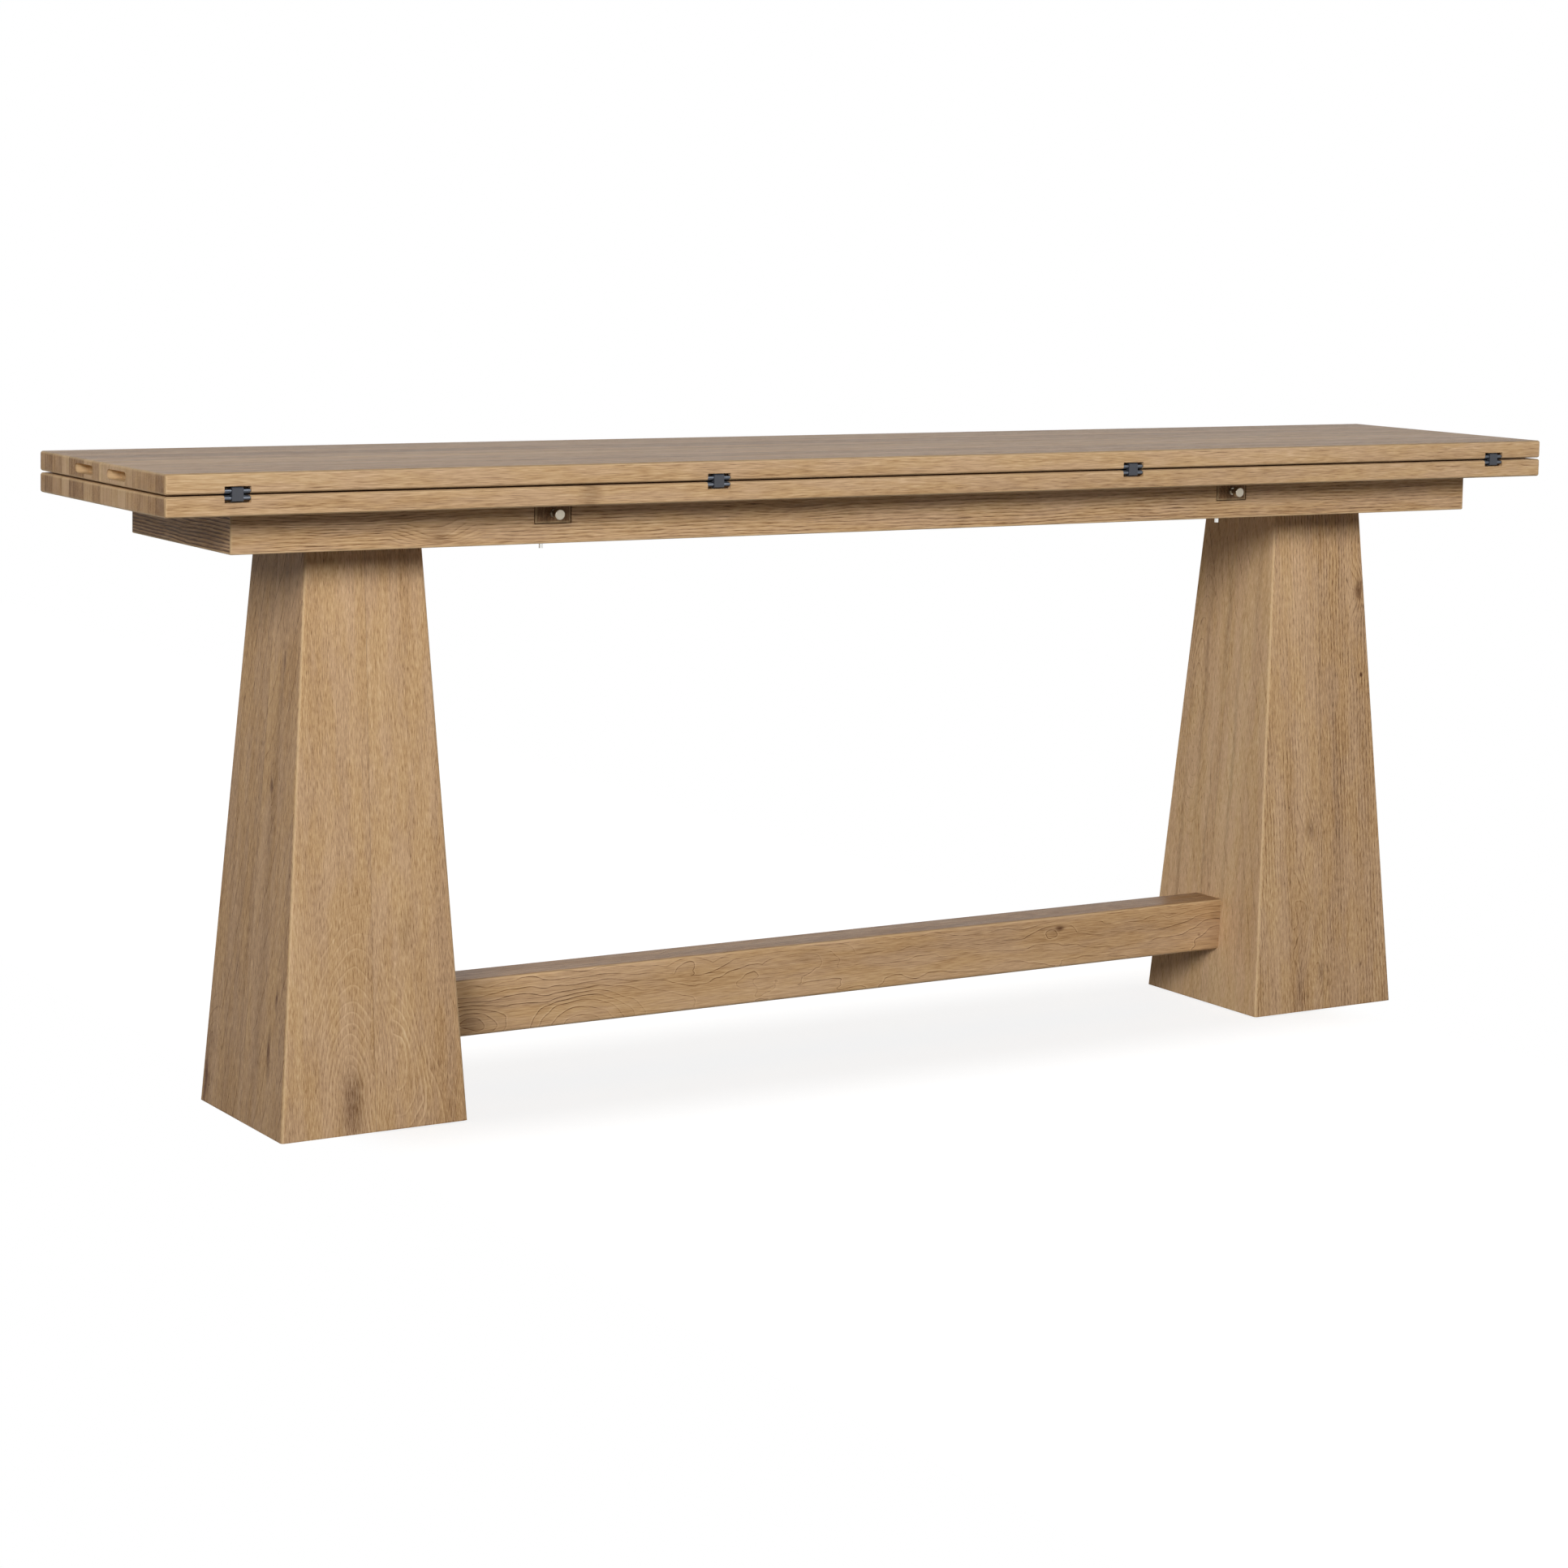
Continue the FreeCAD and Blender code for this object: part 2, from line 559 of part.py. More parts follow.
def make_stretcher():
    """The bar between the legs: its ends follow the slope of the legs' inner faces."""
    body = new_node("stretcher")
    top = "(stretcher_underside + stretcher_height)"
    half_width = "(stretcher_width / 2)"
    low_half = f"({LEG_OFFSET} - {leg_half_width('stretcher_underside')})"
    high_half = f"({LEG_OFFSET} - {leg_half_width(top)})"
    wedge(body, "bar", "stretcher_underside", top, (low_half, f"-{half_width}", half_width),
          (high_half, f"-{half_width}", half_width), UPRIGHT)
    round_edges(body, "eased_edges", "stretcher_rounding", lambda edge, shape: runs_along(edge, "x"))
    for level in stretcher_bolt_levels():
        end_face = f"({LEG_OFFSET} - {leg_half_width(level)})"
        insert_end = f"({end_face} - insert_recess)"
        for end in (LEFT, RIGHT):
            cylinder(body, "bolt_hole", (f"{end} * ({end_face} - bolt_hole_depth / 2)", "0", level),
                     BOLT_HOLE_RADIUS, "bolt_hole_depth + insert_recess", "x", cut=True)
            insert_middle = f"{end} * ({insert_end} - insert_length / 2 + insert_recess)"
            cylinder(body, "insert_hole", (insert_middle, "0", level),
                     "insert_radius", "insert_length + 2 * insert_recess", "x", cut=True)


def make_fasteners(insert):
    """Bolts, inserts and glides of the legs and the stretcher."""
    leg_bolt = make_bolt("leg_bolt", "leg_bolt_length")
    head_seat = f"{FIXED_TOP_UNDERSIDE} - {COUNTERBORE_DEPTH}"
    copies("leg_bolts", leg_bolt, at_both_legs(bolt_pattern(), head_seat))
    copies("leg_inserts", insert, at_both_legs(bolt_pattern(), RAIL_UNDERSIDE))

    stretcher_bolt = make_bolt("stretcher_bolt", "stretcher_bolt_length")
    bolts = []
    inserts = []
    for level in stretcher_bolt_levels():
        end_face = f"({LEG_OFFSET} - {leg_half_width(level)})"
        for end in (LEFT, RIGHT):
            outwards = turned("y", 90 * end)
            bolts.append(((f"{end} * ({end_face} + spot_face_wall)", "0", level), outwards))
            inserts.append(((f"{end} * ({end_face} - insert_recess)", "0", level), outwards))
    copies("stretcher_bolts", stretcher_bolt, bolts)
    copies("stretcher_inserts", insert, inserts)

    glide = new_body("floor_glide")
    cylinder(glide, "disc", ("0", "0", "glide_thickness / 2"), "glide_radius", "glide_thickness", "z")
    cylinder(glide, "nail", ("0", "0", "glide_thickness + nail_length / 2"),
             "nail_radius", "nail_length", "z")
    copies("floor_glides", glide, at_both_legs(glide_pattern(), "0"))


def make_loper_guides():
    """Trays and guide strips that the lopers slide in, with their screws and the stop pins."""
    strip = new_body("guide_strip")
    strip_middle = f"({TRAY_FACE} + {STRIP_HEIGHT} / 2)"
    box(strip, "strip", ("0", "0", strip_middle), (STRIP_WIDTH, INSIDE_DEPTH, STRIP_HEIGHT))
    places = [("0", f"{side} * {TRAY_SCREW_LINE}") for side in (FRONT, BACK)]
    screw_holes(strip, "screw_hole", places, strip_middle, STRIP_HEIGHT)

    tray_middle = f"({TRAY_FACE} - tray_thickness / 2)"
    pin_places = []
    screw_places = []
    for end in (LEFT, RIGHT):
        tray = new_node(f"{SIDE_NAMES[end]}_loper_tray")
        middle = strip_places(end)[1]
        box(tray, "board", (middle, "0", tray_middle),
            (f"2 * loper_pitch + {STRIP_WIDTH}", INSIDE_DEPTH, "tray_thickness"))
        screw_holes(tray, "screw_hole", tray_screw_places(end), tray_middle, "tray_thickness")
        pins = [(f"{end} * {FRONT_LOPER_OFFSET}", f"-{STOP_PIN_PLACE}"),
                (f"{end} * {BACK_LOPER_OFFSET}", STOP_PIN_PLACE)]
        for x, y in pins:
            cylinder(tray, "stop_pin_hole", (x, y, tray_middle),
                     "stop_pin_radius", "tray_thickness", "z", cut=True)
        pin_places += pins
        screw_places += tray_screw_places(end)
        strips = [((x, "0", "0"), AS_BUILT) for x in strip_places(end)]
        copies(f"{SIDE_NAMES[end]}_guide_strips", strip, strips)

    screw = make_screw("tray_screw", f"tray_thickness + {STRIP_HEIGHT} + screw_bite")
    underside = f"{TRAY_FACE} - tray_thickness"
    copies("tray_screws", screw, [((x, y, underside), AS_BUILT) for x, y in screw_places])

    pin = new_body("stop_pin")
    low = f"({APRON_UNDERSIDE} - stop_pin_hang)"
    high = f"({LOPER_UNDERSIDE} + groove_depth - groove_end_clearance)"
    cylinder(pin, "pin", ("0", "0", f"({low} + {high}) / 2"), "stop_pin_radius", f"{high} - {low}", "z")
    copies("stop_pins", pin, [((x, y, "0"), AS_BUILT) for x, y in pin_places])


def make_loper(edge, end):
    """One pull-out bar with a groove for its stop pin, and its knob."""
    offset = FRONT_LOPER_OFFSET if edge == FRONT else BACK_LOPER_OFFSET
    name = f"{EDGE_NAMES[edge]}_{SIDE_NAMES[end]}_loper"
    at = (f"{end} * {offset}", "0", "0")
    front = f"(-{APRON_DEPTH} / 2)"
    bar = new_node(name, at, EDGE_TURNS[edge])
    box(bar, "bar", ("0", f"{front} + {LOPER_LENGTH} / 2", f"{LOPER_UNDERSIDE} + {LOPER_HEIGHT} / 2"),
        (LOPER_WIDTH, LOPER_LENGTH, LOPER_HEIGHT))
    round_edges(bar, "eased_front", "loper_rounding",
                lambda edge, shape: edge.BoundBox.YMax < shape.BoundBox.Center.y)
    pin_place = f"(-{STOP_PIN_PLACE})"
    groove_level = f"{LOPER_UNDERSIDE} + groove_depth / 2"
    groove_radius = "(stop_pin_radius + groove_clearance)"
    box(bar, "stop_groove", ("0", f"{pin_place} + loper_travel / 2", groove_level),
        (f"2 * {groove_radius}", "loper_travel", "groove_depth"), cut=True)
    for reach in ("0", "loper_travel"):
        cylinder(bar, "groove_end", ("0", f"{pin_place} + {reach}", groove_level),
                 groove_radius, "groove_depth", "z", cut=True)
    knob_level = f"{LOPER_UNDERSIDE} + {LOPER_HEIGHT} / 2"
    cylinder(bar, "knob_hole", ("0", f"{front} + knob_stud_length / 2", knob_level),
             "knob_stud_radius", "knob_stud_length", "y", cut=True)

    knob = new_node(f"{EDGE_NAMES[edge]}_{SIDE_NAMES[end]}_knob", at, EDGE_TURNS[edge])
    neck_start = f"({front} - knob_base_length)"
    head_start = f"({neck_start} - knob_neck_length)"
    cylinder(knob, "head", ("0", f"{head_start} - knob_head_length / 2", knob_level),
             "knob_head_radius", "knob_head_length", "y")
    round_edges(knob, "eased_rim", "knob_rounding", lambda edge, shape: edge.Closed)
    cylinder(knob, "neck", ("0", f"{neck_start} - knob_neck_length / 2", knob_level),
             "knob_neck_radius", "knob_neck_length", "y")
    cylinder(knob, "base", ("0", f"{front} - knob_base_length / 2", knob_level),
             "knob_base_radius", "knob_base_length", "y")
    cylinder(knob, "stud", ("0", f"{front} + knob_stud_length / 2", knob_level),
             "knob_stud_radius", "knob_stud_length", "y")


def make_hinge_plate():
    """A hinge plate about its pin, as it lies in the front edge of the fixed top, facing up."""
    body = new_body("hinge_plate")
    face = "(pin_depth - plate_recess)"
    box(body, "plate", ("0", "plate_length / 2", f"{face} - plate_thickness / 2"),
        (PLATE_WIDTH, "plate_length", "plate_thickness"))
    cylinder(body, "knuckle", ("0", "0", "0"), "knuckle_radius", PLATE_WIDTH, "x")
    notch_back = f"({POCKET_REACH} - {PIN_SETBACK})"
    box(body, "link_notch", ("0", f"({notch_back} - knuckle_radius) / 2", "0"),
        ("link_width + 2 * link_side_clearance", f"{notch_back} + knuckle_radius", "2 * pin_depth"), cut=True)
    cylinder(body, "pin_hole", ("0", "0", "0"), "pin_radius", PLATE_WIDTH, "x", cut=True)
    for side in (LEFT, RIGHT):
        place_x = f"{side} * hinge_screw_along"
        cylinder(body, "screw_hole", (place_x, "hinge_screw_behind", f"{face} - plate_thickness / 2"),
                 "hinge_screw_radius", "plate_thickness", "z", cut=True)
        feature(body, "SubtractiveCone", "countersink",
                (place_x, "hinge_screw_behind", f"{face} - hinge_screw_head_height"), AS_BUILT,
                {"Radius1": "hinge_screw_radius", "Radius2": "hinge_screw_head_radius",
                 "Height": "hinge_screw_head_height"})
    return body


def make_hinge_screw():
    """A countersunk screw that points down from its origin on the plate's face."""
    body = new_body("hinge_screw")
    cylinder(body, "shank", ("0", "0", "-hinge_screw_length / 2"),
             "hinge_screw_radius", "hinge_screw_length", "z")
    feature(body, "AdditiveCone", "head", ("0", "0", "-hinge_screw_head_height"), AS_BUILT,
            {"Radius1": "hinge_screw_radius", "Radius2": "hinge_screw_head_radius",
             "Height": "hinge_screw_head_height"})
    return body


def make_hinge_link():
    """A link about its lower pin: two round ends, flattened to lie flush with the edge and the opened top."""
    body = new_body("hinge_link")
    box(body, "bar", ("0", "0", f"{PIN_SPAN} / 2"), ("link_width", f"2 * {LINK_END_RADIUS}", PIN_SPAN))
    for level in ("0", PIN_SPAN):
        cylinder(body, "round_end", ("0", "0", level), LINK_END_RADIUS, "link_width", "x")
    flats = {FRONT: f"({PIN_SETBACK} - link_face_clearance)", BACK: "(pin_depth - link_face_clearance)"}
    for side, distance in flats.items():
        box(body, "flat", ("0", f"{side} * ({distance} + {LINK_END_RADIUS} / 2)", f"{PIN_SPAN} / 2"),
            ("2 * link_width", LINK_END_RADIUS, f"2 * {PIN_SPAN} + 2 * {LINK_END_RADIUS}"), cut=True)
    for level in ("0", PIN_SPAN):
        cylinder(body, "pin_hole", ("0", "0", level),
                 "pin_radius + pin_clearance", "link_width", "x", cut=True)
    return body


def make_hinges():
    """Plates, pins, links and screws of the eight hinges, grouped by what they move with."""
    plate = make_hinge_plate()
    screw = make_hinge_screw()
    link = make_hinge_link()
    pin = new_body("hinge_pin")
    cylinder(pin, "pin", ("0", "0", "0"), "pin_radius", PLATE_WIDTH, "x")

    upper_turns = {FRONT: turned("y", 180), BACK: turned("x", 180)}
    lower_pins = []
    lower_screws = []
    for edge in (FRONT, BACK):
        name = EDGE_NAMES[edge]
        line = f"{edge} * {HINGE_LINE}"
        lower = [((x, line, LOWER_PIN_LEVEL), EDGE_TURNS[edge]) for x in HINGE_PLACES]
        upper = [((x, line, UPPER_PIN_LEVEL), upper_turns[edge]) for x in HINGE_PLACES]
        copies(f"{name}_lower_hinge_plates", plate, lower)
        copies(f"{name}_upper_hinge_plates", plate, upper)
        copies(f"{name}_hinge_links", link, lower)
        copies(f"{name}_upper_hinge_pins", pin, upper)
        lower_pins += lower

        screw_line = f"{edge} * ({HINGE_LINE} - hinge_screw_behind)"
        columns = [f"{x} + {side} * hinge_screw_along" for x in HINGE_PLACES for side in (LEFT, RIGHT)]
        lower_screws += [((x, screw_line, f"{FIXED_TOP_FACE} - plate_recess"), AS_BUILT) for x in columns]
        copies(f"{name}_upper_hinge_screws", screw,
               [((x, screw_line, f"{LEAF_UNDERSIDE} + plate_recess"), turned("x", 180)) for x in columns])
    copies("lower_hinge_pins", pin, lower_pins)
    copies("lower_hinge_screws", screw, lower_screws)


def make_felt_pads():
    """Felt discs on the fixed top that hold the free edges of the closed leaves."""
    pad = new_body("felt_pad")
    thickness = "(leaf_gap - pad_clearance)"
    cylinder(pad, "disc", ("0", "0", f"{thickness} / 2"), "pad_radius", thickness, "z")
    places = [((f"{step} * (top_length / 2 - pad_inset)", f"{edge} * pad_across", FIXED_TOP_FACE), AS_BUILT)
              for step in (LEFT, 0, RIGHT) for edge in (FRONT, BACK)]
    copies("felt_pads", pad, places)


def check_model():
    """Stop if anything failed to build, or if a cut took nothing away."""
    for item in doc.Objects:
        if "Invalid" in item.State or "Error" in item.State:
            raise RuntimeError(f"{item.Label} failed: {item.State}")
        if item.TypeId.startswith("PartDesign::Subtractive"):
            if item.Shape.Volume >= item.BaseFeature.Shape.Volume:
                raise RuntimeError(f"{item.Label} cuts nothing")
    for label, item in nodes.items():
        if item.Shape.isNull() or not item.Shape.isValid():
            raise RuntimeError(f"{label} has no valid shape")


make_fixed_top()
for side_of_table in (FRONT, BACK):
    make_flip_leaf(side_of_table)
make_apron_frame()
make_rails()
for end_of_table in (LEFT, RIGHT):
    make_leg(end_of_table)
make_stretcher()
make_fasteners(make_insert())
make_loper_guides()
for side_of_table in (FRONT, BACK):
    for end_of_table in (LEFT, RIGHT):
        make_loper(side_of_table, end_of_table)
make_hinges()
make_felt_pads()
doc.recompute()
check_model()

os.makedirs("parts", exist_ok=True)
for node_label, node in nodes.items():
    node.Shape.exportStep(f"parts/{node_label}.step")
    extent = node.Shape.BoundBox
    print(f"{node_label}: {len(node.Shape.Solids)} solids, {node.Shape.Volume:.0f} mm3,"
          f" z {extent.ZMin:.1f} to {extent.ZMax:.1f}")
print(f"{len(nodes)} nodes")
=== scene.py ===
# %% [markdown]
# # A flip-top console table in oak
#
# The table is a long oak board on two hollow tapered legs. Two half-depth leaves lie on the fixed board and
# turn over on small link hinges, and bars with metal knobs slide out of the apron to carry them. All its
# pieces arrive as a finished model, so this lesson is about the finishes: how boards of oak, dark steel and
# nickel are drawn with nodes alone, and how the photograph's camera and light are set up again.

# %% Load the model
import json
import math

import bmesh
import bpy
from mathutils import Matrix, Vector


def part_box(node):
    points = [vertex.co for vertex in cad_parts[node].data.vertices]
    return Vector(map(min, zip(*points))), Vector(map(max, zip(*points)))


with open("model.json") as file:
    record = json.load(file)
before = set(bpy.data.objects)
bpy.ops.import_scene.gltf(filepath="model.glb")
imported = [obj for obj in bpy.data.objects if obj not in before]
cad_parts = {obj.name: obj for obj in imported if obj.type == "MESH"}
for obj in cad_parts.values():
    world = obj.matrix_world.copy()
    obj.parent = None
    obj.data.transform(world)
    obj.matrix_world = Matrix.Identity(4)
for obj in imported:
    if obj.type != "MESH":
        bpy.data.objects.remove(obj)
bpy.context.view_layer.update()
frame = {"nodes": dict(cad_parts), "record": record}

# %% [markdown]
# ## One way to add a node
#
# A material is a tree of nodes. Writing each node by hand takes five lines, so one small function adds a
# node, sets what is constant on it and links what is not. Colours are written as the hex values that a colour
# picker shows, and a second function turns them to the linear values that the renderer works in. Sizes are
# written in millimetres, as on a workshop drawing.

# %% Helpers for node trees
MILLIMETRE = 0.001
# The Mix node keeps its colour sockets at these numbers
MIX_FACTOR, MIX_A, MIX_B, MIX_RESULT = 0, 6, 7, 2


def linear(hex_colour):
    """The linear RGBA of an sRGB hex colour."""
    channels = [int(hex_colour[start:start + 2], 16) / 255 for start in (1, 3, 5)]
    return [c / 12.92 if c <= 0.04045 else ((c + 0.055) / 1.055) ** 2.4 for c in channels] + [1.0]


def add(tree, kind, inputs, **settings):
    """Add a node with its settings; an input that is a socket is linked, any other is set."""
    node = tree.nodes.new(kind)
    for name, value in settings.items():
        setattr(node, name, value)
    for key, value in inputs.items():
        if isinstance(value, bpy.types.NodeSocket):
            tree.links.new(value, node.inputs[key])
        else:
            node.inputs[key].default_value = value
    return node


def new_group(name, inputs, outputs):
    """An empty group of nodes, with the kind of each of its sockets by name."""
    tree = bpy.data.node_groups.new(name, "ShaderNodeTree")
    for direction, sockets in (("INPUT", inputs), ("OUTPUT", outputs)):
        for socket, kind in sockets.items():
            tree.interface.new_socket(name=socket, in_out=direction, socket_type=f"NodeSocket{kind}")
    return tree, add(tree, "NodeGroupInput", {}).outputs


def new_material(name):
    """An empty material with its Principled shader, which is linked to the output."""
    material = bpy.data.materials.new(name)
    material.use_nodes = True
    tree = material.node_tree
    tree.nodes.clear()
    shader = add(tree, "ShaderNodeBsdfPrincipled", {})
    add(tree, "ShaderNodeOutputMaterial", {"Surface": shader.outputs[0]})
    return material, tree, shader


def dress(node_name, material):
    """Give a piece of the model its finish."""
    slots = frame["nodes"][node_name].data.materials
    slots.clear()
    slots.append(material)


print("middle tone of the oak, linear:", [round(value, 3) for value in linear("#b18d60")])

# %% [markdown]
# ## Marks that run along the grain
#
# Oak has wide vessels, which planing cuts into short lines along the grain, and long fibres between them.
# Both are noise that is stretched along the board. A painted picture of oak would be quicker, but it would
# repeat, and it would show the same face on all sides of a board. Noise in three dimensions fills the board,
# so a mark that reaches an edge goes on round it, as in solid wood. Real vessels are 0.3 mm wide. They are
# drawn 0.6 mm wide here, because finer ones vanish at a few metres.

# %% Grain marks
# Length along the grain, width across it and inwards in millimetres, then the noise's detail and roughness
GRAIN_MARKS = {
    "drift": (700, 110, 110, 1.0, 0.4),
    "ripple": (85, 32, 32, 2.0, 0.5),
    "vessels": (20, 0.6, 0.6, 2.0, 0.6),
    "fibres": (40, 1.4, 1.4, 2.0, 0.6),
    "streaks": (240, 7, 7, 2.0, 0.5),
    "bands": (1000, 34, 34, 2.0, 0.5),
    "clouds": (110, 22, 22, 3.0, 0.5),
    "fading": (150, 45, 45, 1.0, 0.5),
    # Rays run from the pith to the bark, so on a sawn end they show as streaks through the thickness
    "rays": (8, 3, 45, 2.0, 0.5),
}


def grain_mark(tree, place, name):
    """Noise with the size of a kind of mark, at a place along the grain, across it and inwards."""
    *sizes, detail, roughness = GRAIN_MARKS[name]
    repeats = [1 / (size * MILLIMETRE) for size in sizes]
    scaled = add(tree, "ShaderNodeVectorMath", {0: place, 1: repeats}, operation="MULTIPLY").outputs[0]
    noise = add(tree, "ShaderNodeTexNoise", {"Vector": scaled, "Scale": 1.0, "Detail": detail,
                                             "Roughness": roughness})
    return noise.outputs["Fac"]


print(f"{len(GRAIN_MARKS)} kinds of mark, the finest {min(mark[1] for mark in GRAIN_MARKS.values())} mm wide")

# %% [markdown]
# ## Boards and staves
#
# The top is glued up from narrow staves, and each panel of a leg from two boards. A one-dimensional Voronoi
# pattern across the grain gives every stave its own number, and that number moves the stave to another place
# in the tree, so that no two neighbours match. The same pattern measures how far it is to the glue line.

# %% Staves
# How far a stave's number can move it in the tree: along the grain, across it and inwards, in metres
STAVE_MOVES = (7.0, 0.06, 0.05)


def stave_nodes(tree, along, across, inward, stave, pith):
    """The place in the tree, the stave's number and the distance to its glue line."""
    width, start, unevenness = stave
    count = add(tree, "ShaderNodeMath", {0: across, 1: 1 / width, 2: -start / width},
                operation="MULTIPLY_ADD").outputs[0]
    pattern = {"W": count, "Scale": 1.0, "Randomness": unevenness}
    cells = add(tree, "ShaderNodeTexVoronoi", pattern, voronoi_dimensions="1D").outputs
    joint = add(tree, "ShaderNodeTexVoronoi", pattern, voronoi_dimensions="1D",
                feature="DISTANCE_TO_EDGE").outputs["Distance"]
    joint = add(tree, "ShaderNodeMath", {0: joint, 1: width}, operation="MULTIPLY").outputs[0]
    inside = add(tree, "ShaderNodeMath", {0: count, 1: cells["W"]}, operation="SUBTRACT").outputs[0]
    inside = add(tree, "ShaderNodeMath", {0: inside, 1: width}, operation="MULTIPLY").outputs[0]
    board = add(tree, "ShaderNodeCombineXYZ", {0: along, 1: inside, 2: inward}).outputs[0]
    moved = add(tree, "ShaderNodeVectorMath", {0: cells["Color"], 1: STAVE_MOVES, 2: board},
                operation="MULTIPLY_ADD").outputs[0]
    in_tree = add(tree, "ShaderNodeVectorMath", {0: moved, 1: pith}, operation="SUBTRACT").outputs[0]
    chance = add(tree, "ShaderNodeSeparateColor", {0: cells["Color"]}).outputs[0]
    return in_tree, chance, joint


print("a stave can lie up to", STAVE_MOVES[0], "m further up the tree than its neighbour")

# %% [markdown]
# ## Knots, swirls and streaks
#
# A knot is where a branch left the trunk. The rings bulge round it, so each knot adds rings to the count near
# it, and its heart is dark. A long dark streak is drawn in the same way, as a knot without rings. The knots
# of the photographed boards are listed further down, in millimetres from the table's middle and from the
# floor. A little noise bends them, because a true oval looks drawn.

# %% Knots
BEND_SIZE = 70 * MILLIMETRE
BEND_REACH = 14 * MILLIMETRE
BEND_DETAIL = 2.0
MIDDLE_OF_NOISE = (0.5, 0.5, 0.5)
# The heart ends half-way between a knot's middle and its reach
HEART_SHARE = 0.5
# A Map Range node with these falls from 1 to 0
FALLING = {"To Min": 1.0, "To Max": 0.0}


def knot_nodes(tree, place, across, along, knots):
    """The rings that the knots add, how near the closest swirl is and how dark the knots' hearts are, with
    the painted shade towards the floor.
    """
    face = add(tree, "ShaderNodeCombineXYZ", {0: across, 1: along}).outputs[0]
    bend = add(tree, "ShaderNodeTexNoise", {"Vector": place, "Scale": 1 / BEND_SIZE,
                                            "Detail": BEND_DETAIL}).outputs["Color"]
    bend = add(tree, "ShaderNodeVectorMath", {0: bend, 1: MIDDLE_OF_NOISE}, operation="SUBTRACT").outputs[0]
    face = add(tree, "ShaderNodeVectorMath", {0: bend, 1: [BEND_REACH] * 3, 2: face},
               operation="MULTIPLY_ADD").outputs[0]
    rings, near, heart = 0.0, 0.0, 0.0
    for middle_across, middle_along, reach_across, reach_along, more_rings, darkness in knots:
        away = add(tree, "ShaderNodeMapping", {
            "Vector": face, "Location": (-middle_across / reach_across, -middle_along / reach_along, 0.0),
            "Scale": (1 / (reach_across * MILLIMETRE), 1 / (reach_along * MILLIMETRE), 0.0)}).outputs[0]
        away = add(tree, "ShaderNodeVectorMath", {0: away}, operation="LENGTH").outputs["Value"]
        if more_rings:
            swell = add(tree, "ShaderNodeMapRange", {"Value": away, **FALLING}).outputs[0]
            rings = add(tree, "ShaderNodeMath", {0: swell, 1: more_rings, 2: rings},
                        operation="MULTIPLY_ADD").outputs[0]
            near = add(tree, "ShaderNodeMath", {0: near, 1: swell}, operation="MAXIMUM").outputs[0]
        if darkness:
            dark = add(tree, "ShaderNodeMapRange", {"Value": away, "From Max": HEART_SHARE,
                                                    "To Min": darkness, "To Max": 0.0},
                       interpolation_type="SMOOTHSTEP").outputs[0]
            heart = add(tree, "ShaderNodeMath", {0: heart, 1: dark}, operation="ADD").outputs[0]
    return rings, near, heart


print(f"knots are bent by up to {BEND_REACH / 2 / MILLIMETRE:.0f} mm")

# %% [markdown]
# ## Counting the years
#
# Each year's growth is a ring round the pith. Where the saw cut along the rings they show as arches and
# loops, and where it cut across them as straight lines. So the count of years at a place is its distance from
# the pith over the ring's width, and slow noise makes the rings drift and ripple as they do in a real trunk.
# The count is a group of its own, because a line between two years must be equally thin everywhere: the count
# is taken again a step away along each axis, which tells how steeply the rings rise to the surface there.

# %% Year rings
RING_OUTPUTS = {"Years": "Float", "Plain Years": "Float", "In Tree": "Vector", "Chance": "Float",
                "Joint": "Float", "Near": "Float", "Heart": "Float"}


def make_ring_group(label, order, stave, pith, growth, knots):
    """Count the years at a place on a board; order names its axes along the grain, across it and inwards."""
    tree, given = new_group(f"rings of the {label}", {"Place": "Vector"}, RING_OUTPUTS)
    axes = dict(zip("xyz", add(tree, "ShaderNodeSeparateXYZ", {0: given["Place"]}).outputs))
    along, across, inward = (axes[axis] for axis in order)
    in_tree, chance, joint = stave_nodes(tree, along, across, inward, stave, pith)
    rings, near, heart = knot_nodes(tree, given["Place"], across, along, knots)
    up, sideways, outwards = add(tree, "ShaderNodeSeparateXYZ", {0: in_tree}).outputs
    outwards = add(tree, "ShaderNodeMath", {0: up, 1: growth["lean"], 2: outwards},
                   operation="MULTIPLY_ADD").outputs[0]
    section = add(tree, "ShaderNodeCombineXYZ", {0: sideways, 1: outwards}).outputs[0]
    radius = add(tree, "ShaderNodeVectorMath", {0: section}, operation="LENGTH").outputs["Value"]
    plain = add(tree, "ShaderNodeMath", {0: radius, 1: 1 / growth["width"]}, operation="MULTIPLY").outputs[0]
    for name in ("drift", "ripple"):
        plain = add(tree, "ShaderNodeMath", {0: grain_mark(tree, in_tree, name), 1: growth[name], 2: plain},
                    operation="MULTIPLY_ADD").outputs[0]
    years = add(tree, "ShaderNodeMath", {0: plain, 1: rings}, operation="ADD").outputs[0]
    add(tree, "NodeGroupOutput", {"Years": years, "Plain Years": plain, "In Tree": in_tree, "Chance": chance,
                                  "Joint": joint, "Near": near, "Heart": heart})
    return tree


# The count is compared this far apart, and a slope of fewer rings per metre counts as this many
STEP = 0.5 * MILLIMETRE
LEAST_SLOPE = 8.0


